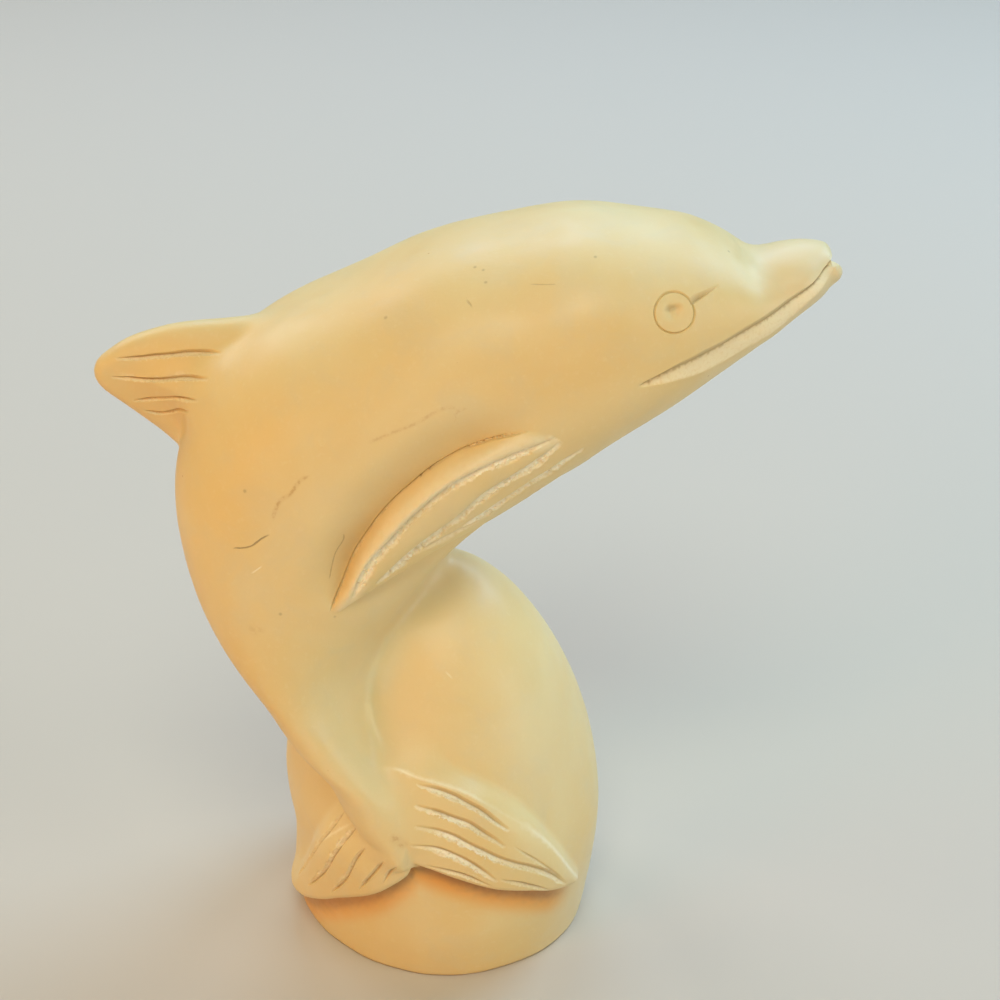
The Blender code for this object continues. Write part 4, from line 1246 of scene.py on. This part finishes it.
def soapstone():
    n = Nodes("soapstone")
    # cream ground with broad, faint clouds of warmer and greyer stone
    broad = n.noise(26.0, 3.0, 0.55, warp=0.6)
    mid = n.noise(6.0, 4.0, 0.6, warp=0.4)
    fine = n.noise(0.9, 4.0, 0.6)
    grain = n.noise(0.22, 2.0, 0.6)
    colour = n.mix(n.ramp(broad, 0.35, 0.68), CREAM, WARM)
    colour = n.mix(n.math("MULTIPLY", n.ramp(mid, 0.45, 0.75), 0.35), colour, GREY)
    colour = n.mix(n.math("MULTIPLY", n.ramp(fine, 0.52, 0.8), 0.22), colour, PALE)
    colour = n.mix(n.math("MULTIPLY", n.ramp(grain, 0.5, 0.85), 0.10), colour, TAN)
    # sparse brown specks of other minerals
    speck = n.cells(3.4)
    chance = n.math("GREATER_THAN", n.tree_value(speck.outputs["Color"]), 0.80)
    spot = n.ramp(speck.outputs["Distance"], 0.02, 0.055, 1.0, 0.0)
    spot = n.math("MULTIPLY", n.math("MULTIPLY", spot, chance), 0.55)
    colour = n.mix(spot, colour, RUST)
    # rust veins, dark hair cracks, pale scratches and single dots
    wob = n.math("MULTIPLY", n.math("SUBTRACT", n.noise(0.5, 3.0, 0.6), 0.5), 1.6)
    wob2 = n.math("MULTIPLY", n.math("SUBTRACT", n.noise(0.22, 2.0, 0.6), 0.5), 3.6)
    broken = n.ramp(n.noise(0.8, 2.0, 0.5), 0.42, 0.6)
    vein = n.math("MULTIPLY", n.line_mask("rust", 0.8, wob2), broken)
    colour = n.mix(n.math("MULTIPLY", vein, 0.42), colour, RUST)
    halo = n.line_mask_wide("rust", 3.2)
    colour = n.mix(n.math("MULTIPLY", halo, 0.12), colour, RUST)
    crack = n.line_mask("dark", 0.5, wob)
    colour = n.mix(n.math("MULTIPLY", crack, 0.62), colour, DARK)
    dot = n.math("MULTIPLY", n.read("dot"), 0.34)
    colour = n.mix(dot, colour, DARK)
    scratch = n.line_mask("pale", 0.5, wob)
    colour = n.mix(n.math("MULTIPLY", scratch, 0.7), colour, CHALK)
    # greyer stone that also stands in for cool sky light: partly stone tone, partly painted light
    grey_skylit = n.math("MULTIPLY", n.read("grey_and_sky_light"), n.ramp(broad, 0.2, 0.8, 0.8, 1.0))
    colour = n.mix(n.math("MULTIPLY", grey_skylit, 0.55), colour, ASH_SKY_LIGHT)
    # torn stone in the cuts is chalky; the cuts' walls and the eye get painted shade
    raw = n.math("MULTIPLY", n.read("raw"), n.ramp(n.noise(0.4, 3.0, 0.6), 0.25, 0.55, 0.55, 1.0))
    tear = n.read("tear")
    teeth = n.math("MULTIPLY", n.math("SUBTRACT", n.noise(0.42, 2.0, 0.55), 0.5), 3.0)
    edge = n.math("SUBTRACT", tear, n.math("ADD", teeth, 1.0))
    torn = n.math("MULTIPLY", n.ramp(edge, -0.25, 0.1, 1.0, 0.0), n.ramp(tear, -0.1, 0.15))
    torn = n.math("MULTIPLY", torn, n.read("tear_on"))
    colour = n.mix(n.math("MULTIPLY", raw, 0.55), colour, CHALK)
    colour = n.mix(n.math("MULTIPLY", torn, 0.90), colour, CHALK)
    # painted shade in the cuts and the eye, darkest on the steep walls
    deep = n.read("recess_shade")
    colour = n.mix(n.math("MULTIPLY", deep, 0.58), colour, RECESS_SHADE_BROWN)
    # painted highlight along the flukes' ridges and the flipper's upper band
    highlight = n.math("MULTIPLY", n.read("painted_highlight"), n.ramp(fine, 0.25, 0.6, 0.6, 1.0))
    colour = n.mix(n.math("MULTIPLY", highlight, 0.55), colour, CHALK)
    # painted orange glow of bounced light below the flukes, then painted shadow under them and painted shade in
    # the hollow above the flipper
    glow = n.math("MULTIPLY", n.read("painted_light"), n.ramp(mid, 0.2, 0.8, 0.75, 1.0))
    colour = n.mix(n.math("MULTIPLY", glow, 0.90), colour, GLOW_ORANGE)
    painted_shadow = n.math("MULTIPLY", n.read("painted_shadow"), n.ramp(fine, 0.2, 0.7, 0.8, 1.0))
    colour = n.mix(n.math("MULTIPLY", painted_shadow, 0.72), colour, SHADOW_BROWN)
    n.put(n.bsdf.inputs["Base Color"], colour)
    # satin polish, duller where it clouds and in the cuts
    rough = n.ramp(n.noise(4.0, 4.0, 0.6), 0.3, 0.7, 0.40, 0.52)
    rough = n.math("ADD", rough, n.math("MULTIPLY", n.ramp(fine, 0.4, 0.8), 0.06))
    rough = n.math("ADD", rough, n.math("MULTIPLY", raw, 0.38), clamp=True)
    rough = n.math("ADD", rough, n.math("MULTIPLY", deep, 0.15), clamp=True)
    n.put(n.bsdf.inputs["Roughness"], rough)
    n.bsdf.inputs["IOR"].default_value = 1.54
    n.bsdf.inputs["Specular IOR Level"].default_value = 0.5
    n.bsdf.inputs["Subsurface Weight"].default_value = 0.14
    n.bsdf.inputs["Subsurface Radius"].default_value = (1.0, 0.62, 0.30)
    n.bsdf.inputs["Subsurface Scale"].default_value = 0.0008
    # sanding lines two ways, faint pits, crumbly torn stone
    sand_a = n.noise(1.0, 3.0, 0.65, n.stretched((0.10, 2.4, 2.4), (0.2, 0.5, 0.3)))
    sand_b = n.noise(1.0, 3.0, 0.65, n.stretched((2.2, 2.2, 0.12), (0.4, -0.6, 0.2)))
    pits = n.ramp(n.cells(0.9).outputs["Distance"], 0.0, 0.22, 0.0, 1.0)
    crumb = n.noise(0.25, 3.0, 0.6)
    height = n.math("ADD", n.math("MULTIPLY", sand_a, 0.010), n.math("MULTIPLY", sand_b, 0.008))
    height = n.math("ADD", height, n.math("MULTIPLY", mid, 0.03))
    height = n.math("ADD", height, n.math("MULTIPLY", pits, 0.003))
    height = n.math("ADD", height, n.math("MULTIPLY", n.math("MULTIPLY", crumb, raw), 0.025))
    height = n.math("SUBTRACT", height, n.math("MULTIPLY", torn, 0.06))
    height = n.math("SUBTRACT", height, n.math("MULTIPLY", crack, 0.05))
    height = n.math("SUBTRACT", height, n.math("MULTIPLY", scratch, 0.03))
    bump = n.tree.nodes.new("ShaderNodeBump")
    bump.inputs["Strength"].default_value = 1.0
    bump.inputs["Distance"].default_value = 0.001
    n.link(height, bump.inputs["Height"])
    n.link(bump.outputs["Normal"], n.bsdf.inputs["Normal"])
    return n.material


CREAM, WARM = (0.82, 0.65, 0.32, 1), (0.80, 0.59, 0.25, 1)
GREY, PALE, TAN = (0.72, 0.61, 0.36, 1), (0.88, 0.74, 0.43, 1), (0.66, 0.45, 0.18, 1)
# the last colour here is the brown of painted shade in the cuts
RUST, DARK, RECESS_SHADE_BROWN = (0.46, 0.19, 0.03, 1), (0.17, 0.085, 0.035, 1), (0.40, 0.28, 0.14, 1)
# the first colour here is the brown of painted shadow under the flukes; the second is grey stone that also
# stands in for cool sky light
SHADOW_BROWN, ASH_SKY_LIGHT = (0.28, 0.15, 0.07, 1), (0.76, 0.68, 0.46, 1)
# the second colour here is the orange of a painted glow of bounced light
CHALK, GLOW_ORANGE = (1.0, 0.92, 0.68, 1), (0.84, 0.37, 0.05, 1)

piece = make_piece()
piece.data.materials.append(soapstone())
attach(piece, "root")
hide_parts("dolphin_carving")


# ---- floor, light and camera ------------------------------------------------
def plain(name, colour, rough):
    m = bpy.data.materials.new(name)
    m.use_nodes = True
    b = m.node_tree.nodes["Principled BSDF"]
    b.inputs["Base Color"].default_value = colour
    b.inputs["Roughness"].default_value = rough
    return m


def make_floor():
    """A pale sheet that lies flat and sweeps up far behind the carving."""
    bm = bmesh.new()
    flat, bend, rows = 0.75, 0.35, 16
    line = [(-1.2, 0.0), (flat, 0.0)]
    for k in range(1, rows + 1):
        a = math.radians(90.0) * k / rows
        line.append((flat + bend * math.sin(a), bend * (1 - math.cos(a))))
    line.append((flat + bend, 1.6))
    left = [bm.verts.new((-1.8, y, z)) for y, z in line]
    right = [bm.verts.new((1.8, y, z)) for y, z in line]
    for k in range(len(line) - 1):
        bm.faces.new((left[k], right[k], right[k + 1], left[k + 1]))
    mesh = bpy.data.meshes.new("floor")
    bm.to_mesh(mesh)
    bm.free()
    mesh.shade_smooth()
    floor = bpy.data.objects.new("floor", mesh)
    bpy.context.scene.collection.objects.link(floor)
    mesh.materials.append(plain("floor", (0.60, 0.54, 0.46, 1), 0.9))


def soft_light(name, place, aim, size, power, colour):
    data = bpy.data.lights.new(name, "AREA")
    data.shape, data.size, data.energy, data.color = "DISK", size, power, colour
    lamp = bpy.data.objects.new(name, data)
    lamp.location = place
    lamp.rotation_euler = (Vector(aim) - Vector(place)).to_track_quat("-Z", "Y").to_euler()
    bpy.context.scene.collection.objects.link(lamp)


make_floor()
MIDDLE = (0.0, 0.0, 0.055)
soft_light("front", (0.0, -0.55, 0.82), MIDDLE, 0.45, 3.4, (0.92, 1.0, 0.88))
soft_light("low", (-0.08, -0.80, 0.12), MIDDLE, 0.40, 0.64, (1.0, 0.90, 0.74))
soft_light("sky", (0.50, 0.35, 0.60), MIDDLE, 0.50, 4.4, (0.50, 0.75, 1.0))
soft_light("back", (0.0, 0.60, 0.60), MIDDLE, 0.45, 2.2, (0.50, 0.70, 1.0))
soft_light("rim", (-0.50, 0.45, 0.55), MIDDLE, 0.45, 1.7, (1.0, 0.98, 0.98))
soft_light("left", (-0.75, 0.0, 0.50), MIDDLE, 0.50, 0.95, (0.94, 1.0, 0.46))
soft_light("warm", (-0.60, -0.50, 0.22), MIDDLE, 0.40, 2.1, (1.0, 0.37, 0.05))
soft_light("right", (0.70, -0.35, 0.25), MIDDLE, 0.45, 1.75, (1.0, 0.95, 0.88))
bpy.context.scene.view_settings.view_transform = "Standard"
world = bpy.data.worlds.new("studio")
bpy.context.scene.world = world
world.use_nodes = True
world.node_tree.nodes["Background"].inputs["Color"].default_value = (1.0, 0.97, 0.92, 1)
world.node_tree.nodes["Background"].inputs["Strength"].default_value = 0.05

lens = bpy.data.cameras.new("camera")
lens.sensor_width, lens.lens = 36.0, 75.24
lens.clip_start, lens.clip_end = 0.01, 10.0
camera = bpy.data.objects.new("camera", lens)
camera.location = (0.0082, -0.243, 0.189)
camera.rotation_euler = (math.radians(62.5), 0.0, 0.0)
bpy.context.scene.collection.objects.link(camera)
bpy.context.scene.camera = camera
